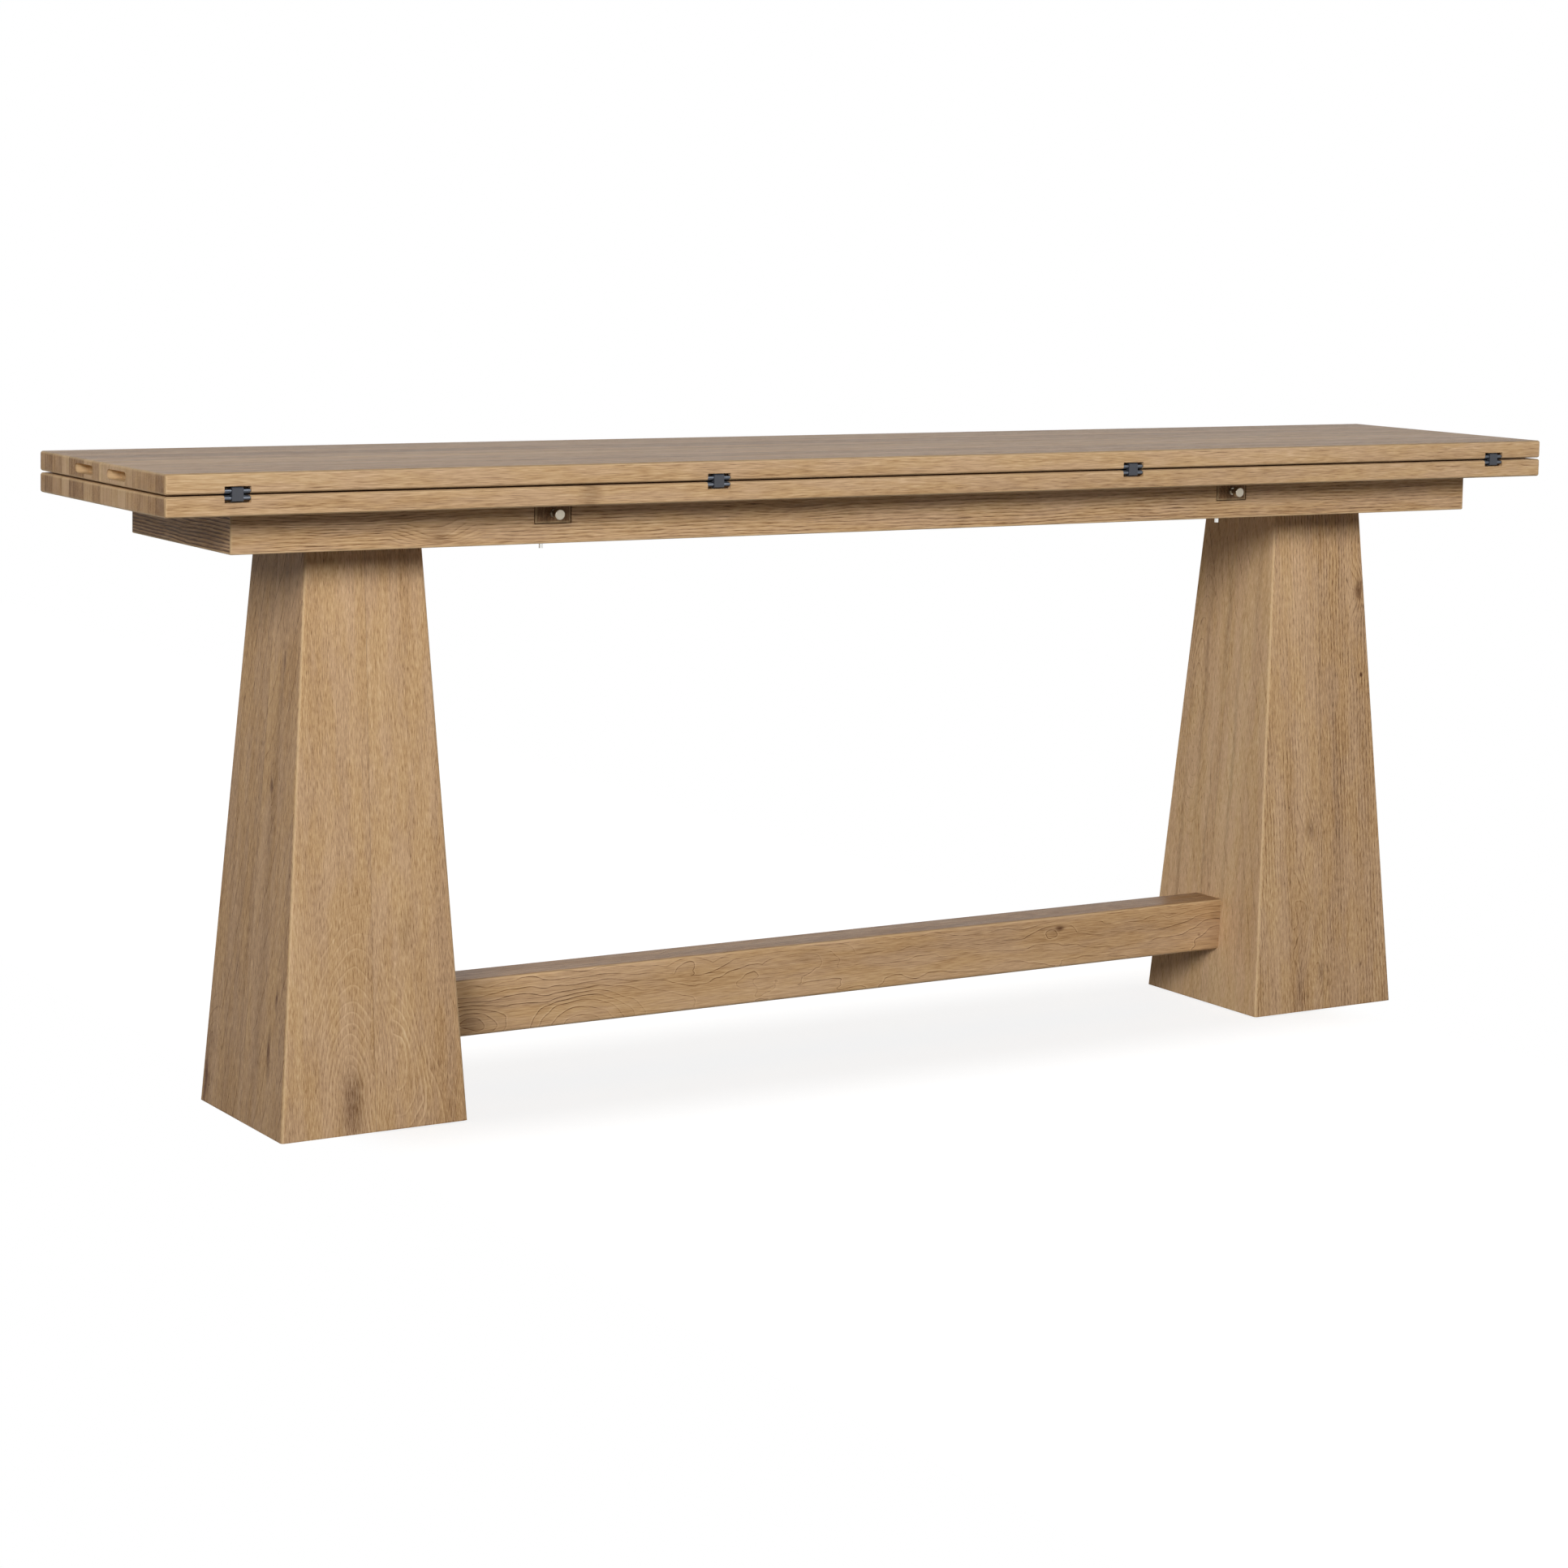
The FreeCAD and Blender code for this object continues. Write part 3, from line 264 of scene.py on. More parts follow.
def ring_slope(tree, ring_group, place, rings, inward):
    """Rings per metre along the surface; knots go straight in, so inwards the count without them will do."""
    rises = []
    for axis in "xyz":
        shift = [STEP if axis == turn else 0.0 for turn in "xyz"]
        beside = add(tree, "ShaderNodeVectorMath", {0: place, 1: shift}, operation="ADD").outputs[0]
        count = "Plain Years" if axis == inward else "Years"
        there = add(tree, "ShaderNodeGroup", {"Place": beside}, node_tree=ring_group).outputs[count]
        rise = add(tree, "ShaderNodeMath", {0: there, 1: rings[count]}, operation="SUBTRACT").outputs[0]
        rises.append(rise)
    rise = add(tree, "ShaderNodeCombineXYZ", dict(enumerate(rises))).outputs[0]
    normal = add(tree, "ShaderNodeTexCoord", {}).outputs["Normal"]
    sunk = add(tree, "ShaderNodeVectorMath", {0: rise, 1: normal}, operation="DOT_PRODUCT").outputs["Value"]
    sunk = add(tree, "ShaderNodeVectorMath", {0: normal, "Scale": sunk}, operation="SCALE").outputs[0]
    level = add(tree, "ShaderNodeVectorMath", {0: rise, 1: sunk}, operation="SUBTRACT").outputs[0]
    slope = add(tree, "ShaderNodeVectorMath", {0: level}, operation="LENGTH").outputs["Value"]
    slope = add(tree, "ShaderNodeMath", {0: slope, 1: 1 / STEP}, operation="MULTIPLY").outputs[0]
    return add(tree, "ShaderNodeMath", {0: slope, 1: LEAST_SLOPE}, operation="MAXIMUM").outputs[0]


print(f"the count of years is compared {STEP / MILLIMETRE} mm apart")

# %% [markdown]
# ## Oak, planed and oiled: the lines
#
# A year starts with a band of vessels, which takes the stain and goes dark, and ends with dense wood, which
# stays pale. So a thin dark line lies beside a pale one. The vessels break the line up, and it comes and goes
# along a board.

# %% Lines between the years
SHARP_SHARE = 0.3
PALE_WIDTH = 3.0 * MILLIMETRE
PALE_SHARE = 0.35
BREAKING = {"From Min": 0.3, "From Max": 0.7, "To Min": 0.5, "To Max": 1.3}
FADING = {"From Min": 0.36, "From Max": 0.6, "To Min": 0.4, "To Max": 1.2}


def year_lines(tree, years, slope, dark_width, marks):
    """Dark lines where a year starts, with a pale band before them; also the band in which vessels crowd."""
    year = add(tree, "ShaderNodeMath", {0: years}, operation="FRACT").outputs[0]
    rest = add(tree, "ShaderNodeMath", {0: 1.0, 1: year}, operation="SUBTRACT").outputs[0]
    after = add(tree, "ShaderNodeMath", {0: year, 1: slope}, operation="DIVIDE").outputs[0]
    before = add(tree, "ShaderNodeMath", {0: rest, 1: slope}, operation="DIVIDE").outputs[0]
    sharp_width = add(tree, "ShaderNodeMath", {0: dark_width, 1: SHARP_SHARE},
                      operation="MULTIPLY").outputs[0]
    bands = []
    for distance, width in ((after, dark_width), (before, sharp_width), (before, PALE_WIDTH)):
        band = add(tree, "ShaderNodeMapRange", {"Value": distance, "From Max": width, **FALLING},
                   interpolation_type="SMOOTHSTEP").outputs[0]
        bands.append(band)
    dark = add(tree, "ShaderNodeMath", {0: bands[0], 1: bands[1]}, operation="MAXIMUM").outputs[0]
    broken = add(tree, "ShaderNodeMapRange", {"Value": marks["vessels"], **BREAKING}).outputs[0]
    line = add(tree, "ShaderNodeMath", {0: dark, 1: broken}, operation="MULTIPLY").outputs[0]
    line = add(tree, "ShaderNodeMath", {0: bands[2], 1: -PALE_SHARE, 2: line},
               operation="MULTIPLY_ADD").outputs[0]
    strength = add(tree, "ShaderNodeMapRange", {"Value": marks["fading"], **FADING}).outputs[0]
    line = add(tree, "ShaderNodeMath", {0: line, 1: strength}, operation="MULTIPLY").outputs[0]
    return line, dark, broken


print(f"pale bands {PALE_WIDTH / MILLIMETRE} mm wide")

# %% [markdown]
# ## Oak, planed and oiled: the colour
#
# A colour ramp turns one number per place, the shade, to oak, from the pale dense wood to the brown of an
# open vessel. Tannin leaves soft clouds of a pinker brown. Sawn ends soak up more oil and go darker, edges
# that hands rub go paler and also carry a painted highlight, knots and glue lines are dark.

# %% Tones of oak
OAK_TONES = ((0.0, "#e2c69d"), (0.35, "#cba77a"), (0.6, "#b48e62"), (0.8, "#916c47"), (1.0, "#67492f"))
CLOUD_TINT = "#b8997d"
CLOUD_SHARE = {"From Min": 0.36, "From Max": 0.64, "To Min": 0.1, "To Max": 0.5}
# Each layer's tint, and how much of it its mask lets through
# The heart's dark tint also paints the legs' painted shade towards the floor
# The pale wear tint is partly wear and partly a painted highlight along the edges
LAYERS = {"End": ("#8c6a46", 0.35), "Wear": ("#d8bb90", 0.5), "Heart": ("#573520", 0.75),
          "Seam": ("#3c2a1b", 0.6)}


def oak_colour(tree, shade, clouds, masks):
    """The ramp from pale to dark oak, pinker clouds, then each layer's tint by its mask."""
    ramp = add(tree, "ShaderNodeValToRGB", {0: shade})
    while len(ramp.color_ramp.elements) < len(OAK_TONES):
        ramp.color_ramp.elements.new(0.5)
    for element, (place, tone) in zip(ramp.color_ramp.elements, OAK_TONES):
        element.position = place
        element.color = linear(tone)
    pinker = add(tree, "ShaderNodeMapRange", {"Value": clouds, **CLOUD_SHARE},
                 interpolation_type="SMOOTHSTEP").outputs[0]
    colour = add(tree, "ShaderNodeMix", {MIX_FACTOR: pinker, MIX_A: ramp.outputs[0],
                                         MIX_B: linear(CLOUD_TINT)},
                 data_type="RGBA", blend_type="COLOR").outputs[MIX_RESULT]
    for layer, (tint, amount) in LAYERS.items():
        factor = add(tree, "ShaderNodeMath", {0: masks[layer], 1: amount}, operation="MULTIPLY",
                     use_clamp=True).outputs[0]
        colour = add(tree, "ShaderNodeMix", {MIX_FACTOR: factor, MIX_A: colour, MIX_B: linear(tint)},
                     data_type="RGBA").outputs[MIX_RESULT]
    return colour


print(f"{len(OAK_TONES)} tones and {len(LAYERS)} layers")

# %% [markdown]
# ## Oak, planed and oiled: the whole finish
#
# The shade adds up the lines, vessels and fibres with the board's own tone. The oil leaves a satin sheen, and
# open vessels are duller and lower than the wood between them. All boards share this one group, so a change
# here changes every board.

# %% The oak finish
OAK_INPUTS = {"In Tree": "Vector", "Years": "Float", "Slope": "Float", "Line": "Float", "Line Width": "Float",
              "Tone": "Float", "Grain": "Float", "Knot": "Float", "End": "Float", "Wear": "Float",
              "Seam": "Float", "Coat": "Float"}
OAK_OUTPUTS = {"Colour": "Color", "Roughness": "Float", "Height": "Float"}
# How much each kind of mark adds to the shade
GRAIN_SHARES = {"vessels": 1.3, "fibres": 0.5, "streaks": 0.2, "bands": 0.5}
# The last coat's share of the shade is painted shade: it darkens the upper faces
VESSEL_SHARE, RAY_SHARE, END_SHARE, UPPER_FACE_SHADE_SHARE = 0.12, 0.9, -0.36, 0.24
OPENING = {"From Min": 0.56, "From Max": 0.76}
# How strongly open vessels show between the dark lines, and how much more in them
LONE_VESSELS, CROWDED_VESSELS = 0.4, 0.6
SATIN = {"From Min": 0.2, "From Max": 0.8, "To Min": 0.46, "To Max": 0.6}
# How much duller and how much lower the surface is in an open vessel, a line, a glue line and the last coat
SURFACE_SHARES = ((0.12, -0.9), (0.04, -0.4), (0.2, -1.5), (-0.12, 0.0))


def make_oak_group():
    """Colour, roughness and height of planed oak."""
    tree, given = new_group("planed and oiled oak", OAK_INPUTS, OAK_OUTPUTS)
    marks = {name: grain_mark(tree, given["In Tree"], name)
             for name in ("vessels", "fibres", "streaks", "bands", "clouds", "fading", "rays")}
    line, crowded, broken = year_lines(tree, given["Years"], given["Slope"], given["Line Width"], marks)
    # Knot hearts, with the painted shade towards the floor on the legs
    heart = add(tree, "ShaderNodeMath", {0: given["Knot"], 1: broken}, operation="MULTIPLY").outputs[0]
    open_vessel = add(tree, "ShaderNodeMapRange", {"Value": marks["vessels"], **OPENING},
                      interpolation_type="SMOOTHSTEP").outputs[0]
    crowd = add(tree, "ShaderNodeMath", {0: crowded, 1: CROWDED_VESSELS, 2: LONE_VESSELS},
                operation="MULTIPLY_ADD").outputs[0]
    open_vessel = add(tree, "ShaderNodeMath", {0: open_vessel, 1: crowd}, operation="MULTIPLY").outputs[0]
    rays = add(tree, "ShaderNodeMath", {0: marks["rays"], 1: given["End"]}, operation="MULTIPLY").outputs[0]
    grain = -sum(GRAIN_SHARES.values()) / 2
    for name, amount in GRAIN_SHARES.items():
        grain = add(tree, "ShaderNodeMath", {0: marks[name], 1: amount, 2: grain},
                    operation="MULTIPLY_ADD").outputs[0]
    shade = given["Tone"]
    for value, amount in ((grain, given["Grain"]), (line, given["Line"]), (open_vessel, VESSEL_SHARE),
                          (rays, RAY_SHARE), (given["End"], END_SHARE), (given["Coat"], UPPER_FACE_SHADE_SHARE)):
        shade = add(tree, "ShaderNodeMath", {0: value, 1: amount, 2: shade},
                    operation="MULTIPLY_ADD").outputs[0]
    masks = {"End": given["End"], "Wear": given["Wear"], "Heart": heart, "Seam": given["Seam"]}
    colour = oak_colour(tree, shade, marks["clouds"], masks)
    roughness = add(tree, "ShaderNodeMapRange", {"Value": marks["fibres"], **SATIN}).outputs[0]
    height = marks["fibres"]
    for value, (duller, lower) in zip((open_vessel, line, given["Seam"], given["Coat"]), SURFACE_SHARES):
        roughness = add(tree, "ShaderNodeMath", {0: value, 1: duller, 2: roughness},
                        operation="MULTIPLY_ADD").outputs[0]
        height = add(tree, "ShaderNodeMath", {0: value, 1: lower, 2: height},
                     operation="MULTIPLY_ADD").outputs[0]
    add(tree, "NodeGroupOutput", {"Colour": colour, "Roughness": roughness, "Height": height})
    return tree


oak_group = make_oak_group()
print(f"oak finish of {len(oak_group.nodes)} nodes")

# %% [markdown]
# ## Edges and ends of a board
#
# Where a board ends, and where its long edges are rubbed pale with a painted highlight on them, follows from
# the board's own box, so these masks are worked out from the model and move with it. On a box the second
# smallest distance to its faces is small only near an edge. A leg's panels meet at mitred corners, which lie
# where the distance from the leg's middle is the same to the front as to the side.

# %% Edge and end masks
# Width of the pale band on rubbed edges, which is also a painted highlight on the rounded arris
WORN_AND_HIGHLIT_WIDTH = 3.5 * MILLIMETRE
END_DEPTH = 2.0 * MILLIMETRE
# Over this share of its width a mask is full
FULL_SHARE = 1 / 8


def depths_in_box(tree, place, centre, half):
    """How far inside a box a place lies along x, y and z, from the box's middle and half of its size."""
    inner = add(tree, "ShaderNodeVectorMath", {0: place, 1: centre}, operation="SUBTRACT").outputs[0]
    inner = add(tree, "ShaderNodeVectorMath", {0: inner}, operation="ABSOLUTE").outputs[0]
    inner = add(tree, "ShaderNodeVectorMath", {0: half, 1: inner}, operation="SUBTRACT").outputs[0]
    return add(tree, "ShaderNodeSeparateXYZ", {0: inner}).outputs


def box_edge_distance(tree, place, centre, half):
    """Distance to the nearest edge of a box."""
    a, b, c = depths_in_box(tree, place, centre, half)
    least = add(tree, "ShaderNodeMath", {0: a, 1: b}, operation="MINIMUM").outputs[0]
    most = add(tree, "ShaderNodeMath", {0: a, 1: b}, operation="MAXIMUM").outputs[0]
    middle = add(tree, "ShaderNodeMath", {0: most, 1: c}, operation="MINIMUM").outputs[0]
    return add(tree, "ShaderNodeMath", {0: least, 1: middle}, operation="MAXIMUM").outputs[0]


def leg_corner_distance(tree, place, leg_x):
    """Distance to the nearest upright corner of a leg."""
    x, y = add(tree, "ShaderNodeSeparateXYZ", {0: place}).outputs[:2]
    side = add(tree, "ShaderNodeMath", {0: x, 1: leg_x}, operation="SUBTRACT").outputs[0]
    side = add(tree, "ShaderNodeMath", {0: side}, operation="ABSOLUTE").outputs[0]
    fore = add(tree, "ShaderNodeMath", {0: y}, operation="ABSOLUTE").outputs[0]
    apart = add(tree, "ShaderNodeMath", {0: side, 1: fore}, operation="SUBTRACT").outputs[0]
    return add(tree, "ShaderNodeMath", {0: apart}, operation="ABSOLUTE").outputs[0]


def edge_masks(tree, place, node_name, grain_axis, leg_x):
    """Where a board is rubbed pale, with a painted highlight along its edges, and its sawn ends."""
    low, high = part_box(node_name)
    centre, half = (low + high) / 2, (high - low) / 2
    if leg_x is None:
        from_edge = box_edge_distance(tree, place, centre, half)
    else:
        from_edge = leg_corner_distance(tree, place, leg_x)
    worn_and_highlit = add(tree, "ShaderNodeMapRange", {"Value": from_edge, "From Min": WORN_AND_HIGHLIT_WIDTH * FULL_SHARE,
                                            "From Max": WORN_AND_HIGHLIT_WIDTH, **FALLING},
               interpolation_type="SMOOTHSTEP").outputs[0]
    along = add(tree, "ShaderNodeSeparateXYZ", {0: place}).outputs[grain_axis]
    along = add(tree, "ShaderNodeMath", {0: along, 1: centre[grain_axis]}, operation="SUBTRACT").outputs[0]
    along = add(tree, "ShaderNodeMath", {0: along}, operation="ABSOLUTE").outputs[0]
    end = add(tree, "ShaderNodeMapRange", {
        "Value": along, "From Min": half[grain_axis] - END_DEPTH,
        "From Max": half[grain_axis] - END_DEPTH * FULL_SHARE}).outputs[0]
    return worn_and_highlit, end


print(f"edges are rubbed {WORN_AND_HIGHLIT_WIDTH / MILLIMETRE} mm wide")

# %% [markdown]
# ## Finger recesses
#
# A recess in each end of a leaf takes the fingertips that lift it. The router leaves its walls raw and pale,
# and they are never rubbed down; they are painted paler still, as painted light against the shade of the
# leaf's lip. The model's record says where each recess is, so the mask is a box round that place. The end of
# the board keeps its own tone, and only what lies deeper turns pale.

# %% Mask of the finger recesses
# A little more than half of a recess's depth, length and height
RECESS_REACH = [size * MILLIMETRE for size in (8.6, 28.6, 6.1)]
# How much paler the recess walls are painted: raw wood, and painted light against the lip's shade
RECESS_PALE_AND_LIT = 1.6


def recess_pale_and_lit_mask(tree, place, edge):
    """1 on the walls of the recesses in the leaf at an edge, which is front or back; they are painted pale,
    partly as painted light.
    """
    routed_and_lit = 0.0
    for opening in frame["record"]["physics"]["openings"]:
        if not opening["name"].startswith(edge):
            continue
        low, high = (Vector(corner) for corner in opening["box_m"])
        a, b, c = depths_in_box(tree, place, (low + high) / 2, RECESS_REACH)
        least = add(tree, "ShaderNodeMath", {0: a, 1: b}, operation="MINIMUM").outputs[0]
        least = add(tree, "ShaderNodeMath", {0: least, 1: c}, operation="MINIMUM").outputs[0]
        inside = add(tree, "ShaderNodeMath", {0: least, 1: 0.0}, operation="GREATER_THAN").outputs[0]
        routed_and_lit = add(tree, "ShaderNodeMath", {0: routed_and_lit, 1: inside}, operation="MAXIMUM").outputs[0]
    return routed_and_lit


print(f"recesses reach {2 * RECESS_REACH[0] / MILLIMETRE:.0f} mm into the wood")

# %% [markdown]
# ## Dressing one board
#
# Each board gets a material of its own, because its grain runs its own way and it was cut from its own place
# in the tree. The material counts the years, measures their slope on the surface, and hands both to the oak
# finish with the board's masks. The upper faces of the leaves have one more coat, rubbed down between coats,
# so they shine a little more, and they are painted darker there, as painted shade on the upper faces.

# %% Oak boards
GLUE_WIDTH = 0.35 * MILLIMETRE
# Depth under an upper face where the last coat and its painted shade begin
COAT_AND_SHADE_DEPTH = 1.5 * MILLIMETRE
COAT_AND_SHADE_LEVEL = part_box("front_leaf")[1].z - COAT_AND_SHADE_DEPTH
# Staves differ more on a sawn end than on a planed face
END_CONTRAST = 0.5
MIDDLE_TONE = 0.48
OAK_IOR = 1.45
# Open pores scatter most of the gloss that a smooth film of oil would have
OAK_GLOSS = 0.15
OAK_RELIEF = {"Strength": 0.35, "Distance": 0.4 * MILLIMETRE}


def oak_board(node_name, order, stave, pith, growth, tone, contrast, line, swirl=0.1, line_width=2.4,
              grain=1.0, knots=(), leg_x=None, recess_edge=None, coat_and_shade_level=COAT_AND_SHADE_LEVEL):
    """Dress a piece as planed oak.

    Line is how dark its lines are, and swirl how much darker they are round a knot. Below 0 they are paler
    than the wood between them. Above coat_and_shade_level, in metres, the piece has the last coat and is
    painted darker, as painted shade.
    """
    label = node_name.replace("_", " ")
    material, tree, shader = new_material(f"planed and oiled oak, {label}")
    ring_group = make_ring_group(label, order, stave, pith, growth, knots)
    place = add(tree, "ShaderNodeTexCoord", {}).outputs["Object"]
    rings = add(tree, "ShaderNodeGroup", {"Place": place}, node_tree=ring_group).outputs
    slope = ring_slope(tree, ring_group, place, rings, order[2])
    worn_and_highlit, end = edge_masks(tree, place, node_name, "xyz".index(order[0]), leg_x)
    # The recess walls join the pale mask as raw wood and as painted light in the lip's shade
    if recess_edge:
        deeper = add(tree, "ShaderNodeMath", {0: end, 1: -RECESS_PALE_AND_LIT, 2: RECESS_PALE_AND_LIT},
                     operation="MULTIPLY_ADD").outputs[0]
        worn_and_highlit = add(tree, "ShaderNodeMath", {0: recess_pale_and_lit_mask(tree, place, recess_edge), 1: deeper, 2: worn_and_highlit},
                   operation="MULTIPLY_ADD").outputs[0]
    seam = add(tree, "ShaderNodeMapRange", {"Value": rings["Joint"], "From Max": GLUE_WIDTH,
                                            **FALLING}).outputs[0]
    height = add(tree, "ShaderNodeSeparateXYZ", {0: place}).outputs["Z"]
    # Above this level the last coat makes the wood shinier, and darker as painted shade
    coat = add(tree, "ShaderNodeMapRange", {"Value": height, "From Min": coat_and_shade_level,
                                            "From Max": coat_and_shade_level + COAT_AND_SHADE_DEPTH / 2}).outputs[0]
    spread = add(tree, "ShaderNodeMath", {0: end, 1: END_CONTRAST, 2: contrast},
                 operation="MULTIPLY_ADD").outputs[0]
    chance = add(tree, "ShaderNodeMath", {0: rings["Chance"], 1: 0.5}, operation="SUBTRACT").outputs[0]
    shade = add(tree, "ShaderNodeMath", {0: chance, 1: spread, 2: MIDDLE_TONE + tone},
                operation="MULTIPLY_ADD").outputs[0]
    strength = add(tree, "ShaderNodeMath", {0: rings["Near"], 1: swirl, 2: line},
                   operation="MULTIPLY_ADD").outputs[0]
    finish = add(tree, "ShaderNodeGroup", {
        "In Tree": rings["In Tree"], "Years": rings["Years"], "Slope": slope, "Line": strength,
        "Line Width": line_width * MILLIMETRE, "Tone": shade, "Grain": grain, "Knot": rings["Heart"],
        "End": end, "Wear": worn_and_highlit, "Seam": seam, "Coat": coat}, node_tree=oak_group).outputs
    relief = add(tree, "ShaderNodeBump", {"Height": finish["Height"], **OAK_RELIEF}).outputs[0]
    tree.links.new(finish["Colour"], shader.inputs["Base Color"])
    tree.links.new(finish["Roughness"], shader.inputs["Roughness"])
    tree.links.new(relief, shader.inputs["Normal"])
    shader.inputs["IOR"].default_value = OAK_IOR
    shader.inputs["Specular IOR Level"].default_value = OAK_GLOSS
    dress(node_name, material)


print(f"the last coat lies above {COAT_AND_SHADE_LEVEL:.4f} m")

# %% [markdown]
# ## The top and its leaves
#
# Staves about 24 mm wide run the length of the table. Narrow rings, cut at all angles, give fine golden lines
# on the long edges, and the sawn ends at the table's sides show each stave in a tone of its own.

# %% Top boards
# A stave is its width, where the first one starts and how uneven they are; growth is the rings' width, how
# far slow and quick waves shift them, and how far the tree leaned
TOP = dict(order="xyz", stave=(0.024, 0.006, 0.6), contrast=0.2, line=0.14,
           growth=dict(width=3.6 * MILLIMETRE, drift=2.5, ripple=1.0, lean=0.01))
# Knots: middle across and along the board, reach across and along, in millimetres, more rings, darkness.
# A small knot in the fixed top's front edge, and a browner patch at the left end of the leaf's
TOP_KNOT = [(-189, -472, 44, 44, 0.0, 0.55)]
LEAF_PATCH = [(-189, -760, 90, 760, 0.0, 0.12)]
oak_board("fixed_top", pith=(0.0, 0.5, 0.71), tone=-0.06, knots=TOP_KNOT, **TOP)
oak_board("front_leaf", pith=(0.6, 0.5, 0.73), tone=-0.1, knots=LEAF_PATCH, recess_edge="front", **TOP)
oak_board("back_leaf", pith=(1.3, 0.5, 0.73), tone=-0.08, recess_edge="back", **TOP)

# %% [markdown]
# ## The apron
#
# Four boards on edge under the top. The rings lie steeper here, so wavy lines run along the board, and they
# swirl round one knot near the left end of the front. The left end board is browner than the others and
# painted darker, as painted shade under the top's overhang, with close dark lines.

# %% Apron boards
# A stave so wide that it holds the whole board
ONE_BOARD = (2.0, 0.2, 0.0)
APRON_LINE = 0.27
APRON = dict(stave=ONE_BOARD, contrast=0.0,
             growth=dict(width=4.2 * MILLIMETRE, drift=3.0, ripple=1.4, lean=0.012))
APRON_KNOTS = [(685, -642, 22, 60, 4.0, 0.5), (715, -744, 26, 160, 3.0, 0.0), (706, -170, 16, 90, 2.0, 0.3)]
oak_board("front_apron", order="xzy", pith=(0.3, 0.40, -0.05), tone=-0.06, line=APRON_LINE,
          knots=APRON_KNOTS, **APRON)
oak_board("back_apron", order="xzy", pith=(1.9, 0.40, -0.05), tone=-0.06, line=APRON_LINE, **APRON)
# The left end board's darker tone is painted shade under the top's overhang
oak_board("left_apron", order="yzx", pith=(0.1, 0.40, -0.80), tone=0.16, line=0.6, **APRON)
oak_board("right_apron", order="yzx", pith=(2.2, 0.40, 0.02), tone=0.0, line=APRON_LINE, **APRON)
print(f"{len(APRON_KNOTS)} knots on the front apron")

# %% [markdown]
# ## The legs
#
# Each leg is a hollow box of four tapered panels, mitred at the corners, and each panel is two boards with
# their glue line on the panel's middle. The front of the left leg was sawn along the rings, so tall arches
# stand on it, and the other panels were sawn across them. Panels are painted a little darker towards the
# floor, as painted shade.

# %% Leg panels
LEG_X = 0.702
LEG_BOARD = 0.1175
LEG = dict(contrast=0.1, line_width=3.0)
LEG_GROWTH = dict(width=5.0 * MILLIMETRE, drift=1.8, ripple=0.7, lean=0.008)
# What a panel has unless it is named in the lists below
QUARTER_SAWN = (0.4, 0.2, 0.02)
LEG_LINE, LEG_SWIRL, LEG_FLOOR_SHADE = 0.13, 0.07, 0.14
LEG_RIPPLES = {"right_front": 1.8}
LEG_PITHS = {"left_front": (0.4, 0.03, 0.02)}
LEG_TONES = {"left_front": 0.02, "left_outer": 0.08, "right_inner": -0.14}
# The arches on the front of the left leg are pale between darker bands, so its lines are turned over
LEG_LINES = {"left_front": -0.07, "left_outer": 0.2, "right_front": 0.2, "right_inner": 0.17}
LEG_SWIRLS = {"left_front": -0.22}
# Painted shade near the floor is a dark streak much wider than a leg, with its middle on the floor:
# its reach is in millimetres
FLOOR_SHADE_REACH = (4000, 1100)
FLOOR_SHADE = {"left_outer": 0.24, "right_front": 0.2, "right_inner": 0.0}
LEG_KNOTS = {
    "left_front": [
        (-737, 20, 62, 310, 13.0, 0.0), (-731, 36, 52, 120, 3.0, 0.9), (-668, 95, 40, 110, 6.0, 0.0),
        (-640, 30, 44, 90, 4.0, 0.0), (-660, 225, 26, 70, 0.0, 0.3)],
    "left_outer": [
        (-34, 300, 30, 900, 0.0, 0.4), (-39, 539, 8, 34, 1.0, 1.0), (-26, 393, 14, 34, 2.0, 1.0),
        (40, 260, 40, 620, 0.0, 0.14), (99, 29, 24, 70, 2.0, 0.5), (92, 78, 30, 60, 3.0, 0.3),
        (-66, 92, 15, 90, 0.0, 1.1), (-78, 160, 12, 36, 0.0, 1.0), (104, 34, 11, 100, 0.0, 1.1),
        (12, 200, 14, 640, 0.0, 0.34), (66, 330, 12, 560, 0.0, 0.3), (-92, 240, 12, 420, 0.0, 0.3)],
    "right_front": [
        (772, 562, 22, 44, 3.0, 1.2), (774, 449, 8, 11, 0.0, 2.0), (681, 247, 24, 50, 3.0, 0.6),
        (675, 133, 26, 80, 5.0, 0.2), (699, 54, 16, 44, 3.0, 0.5), (662, 36, 8, 50, 1.0, 0.5),
        (767.5, 57, 6, 12, 0.0, 0.8), (646, 276, 4, 7, 0.0, 0.9)],
    "right_inner": [
        (62, 400, 40, 190, 9.0, 0.0), (70, 160, 14, 420, 0.0, 0.4), (44, 420, 12, 560, 0.0, 0.36),
        (18, 200, 9, 500, 0.0, 0.36), (6, 520, 16, 300, 0.0, 0.4), (-26, 330, 12, 640, 0.0, 0.36),
        (-52, 560, 20, 260, 0.0, 0.24), (-70, 120, 14, 300, 0.0, 0.24)],
}
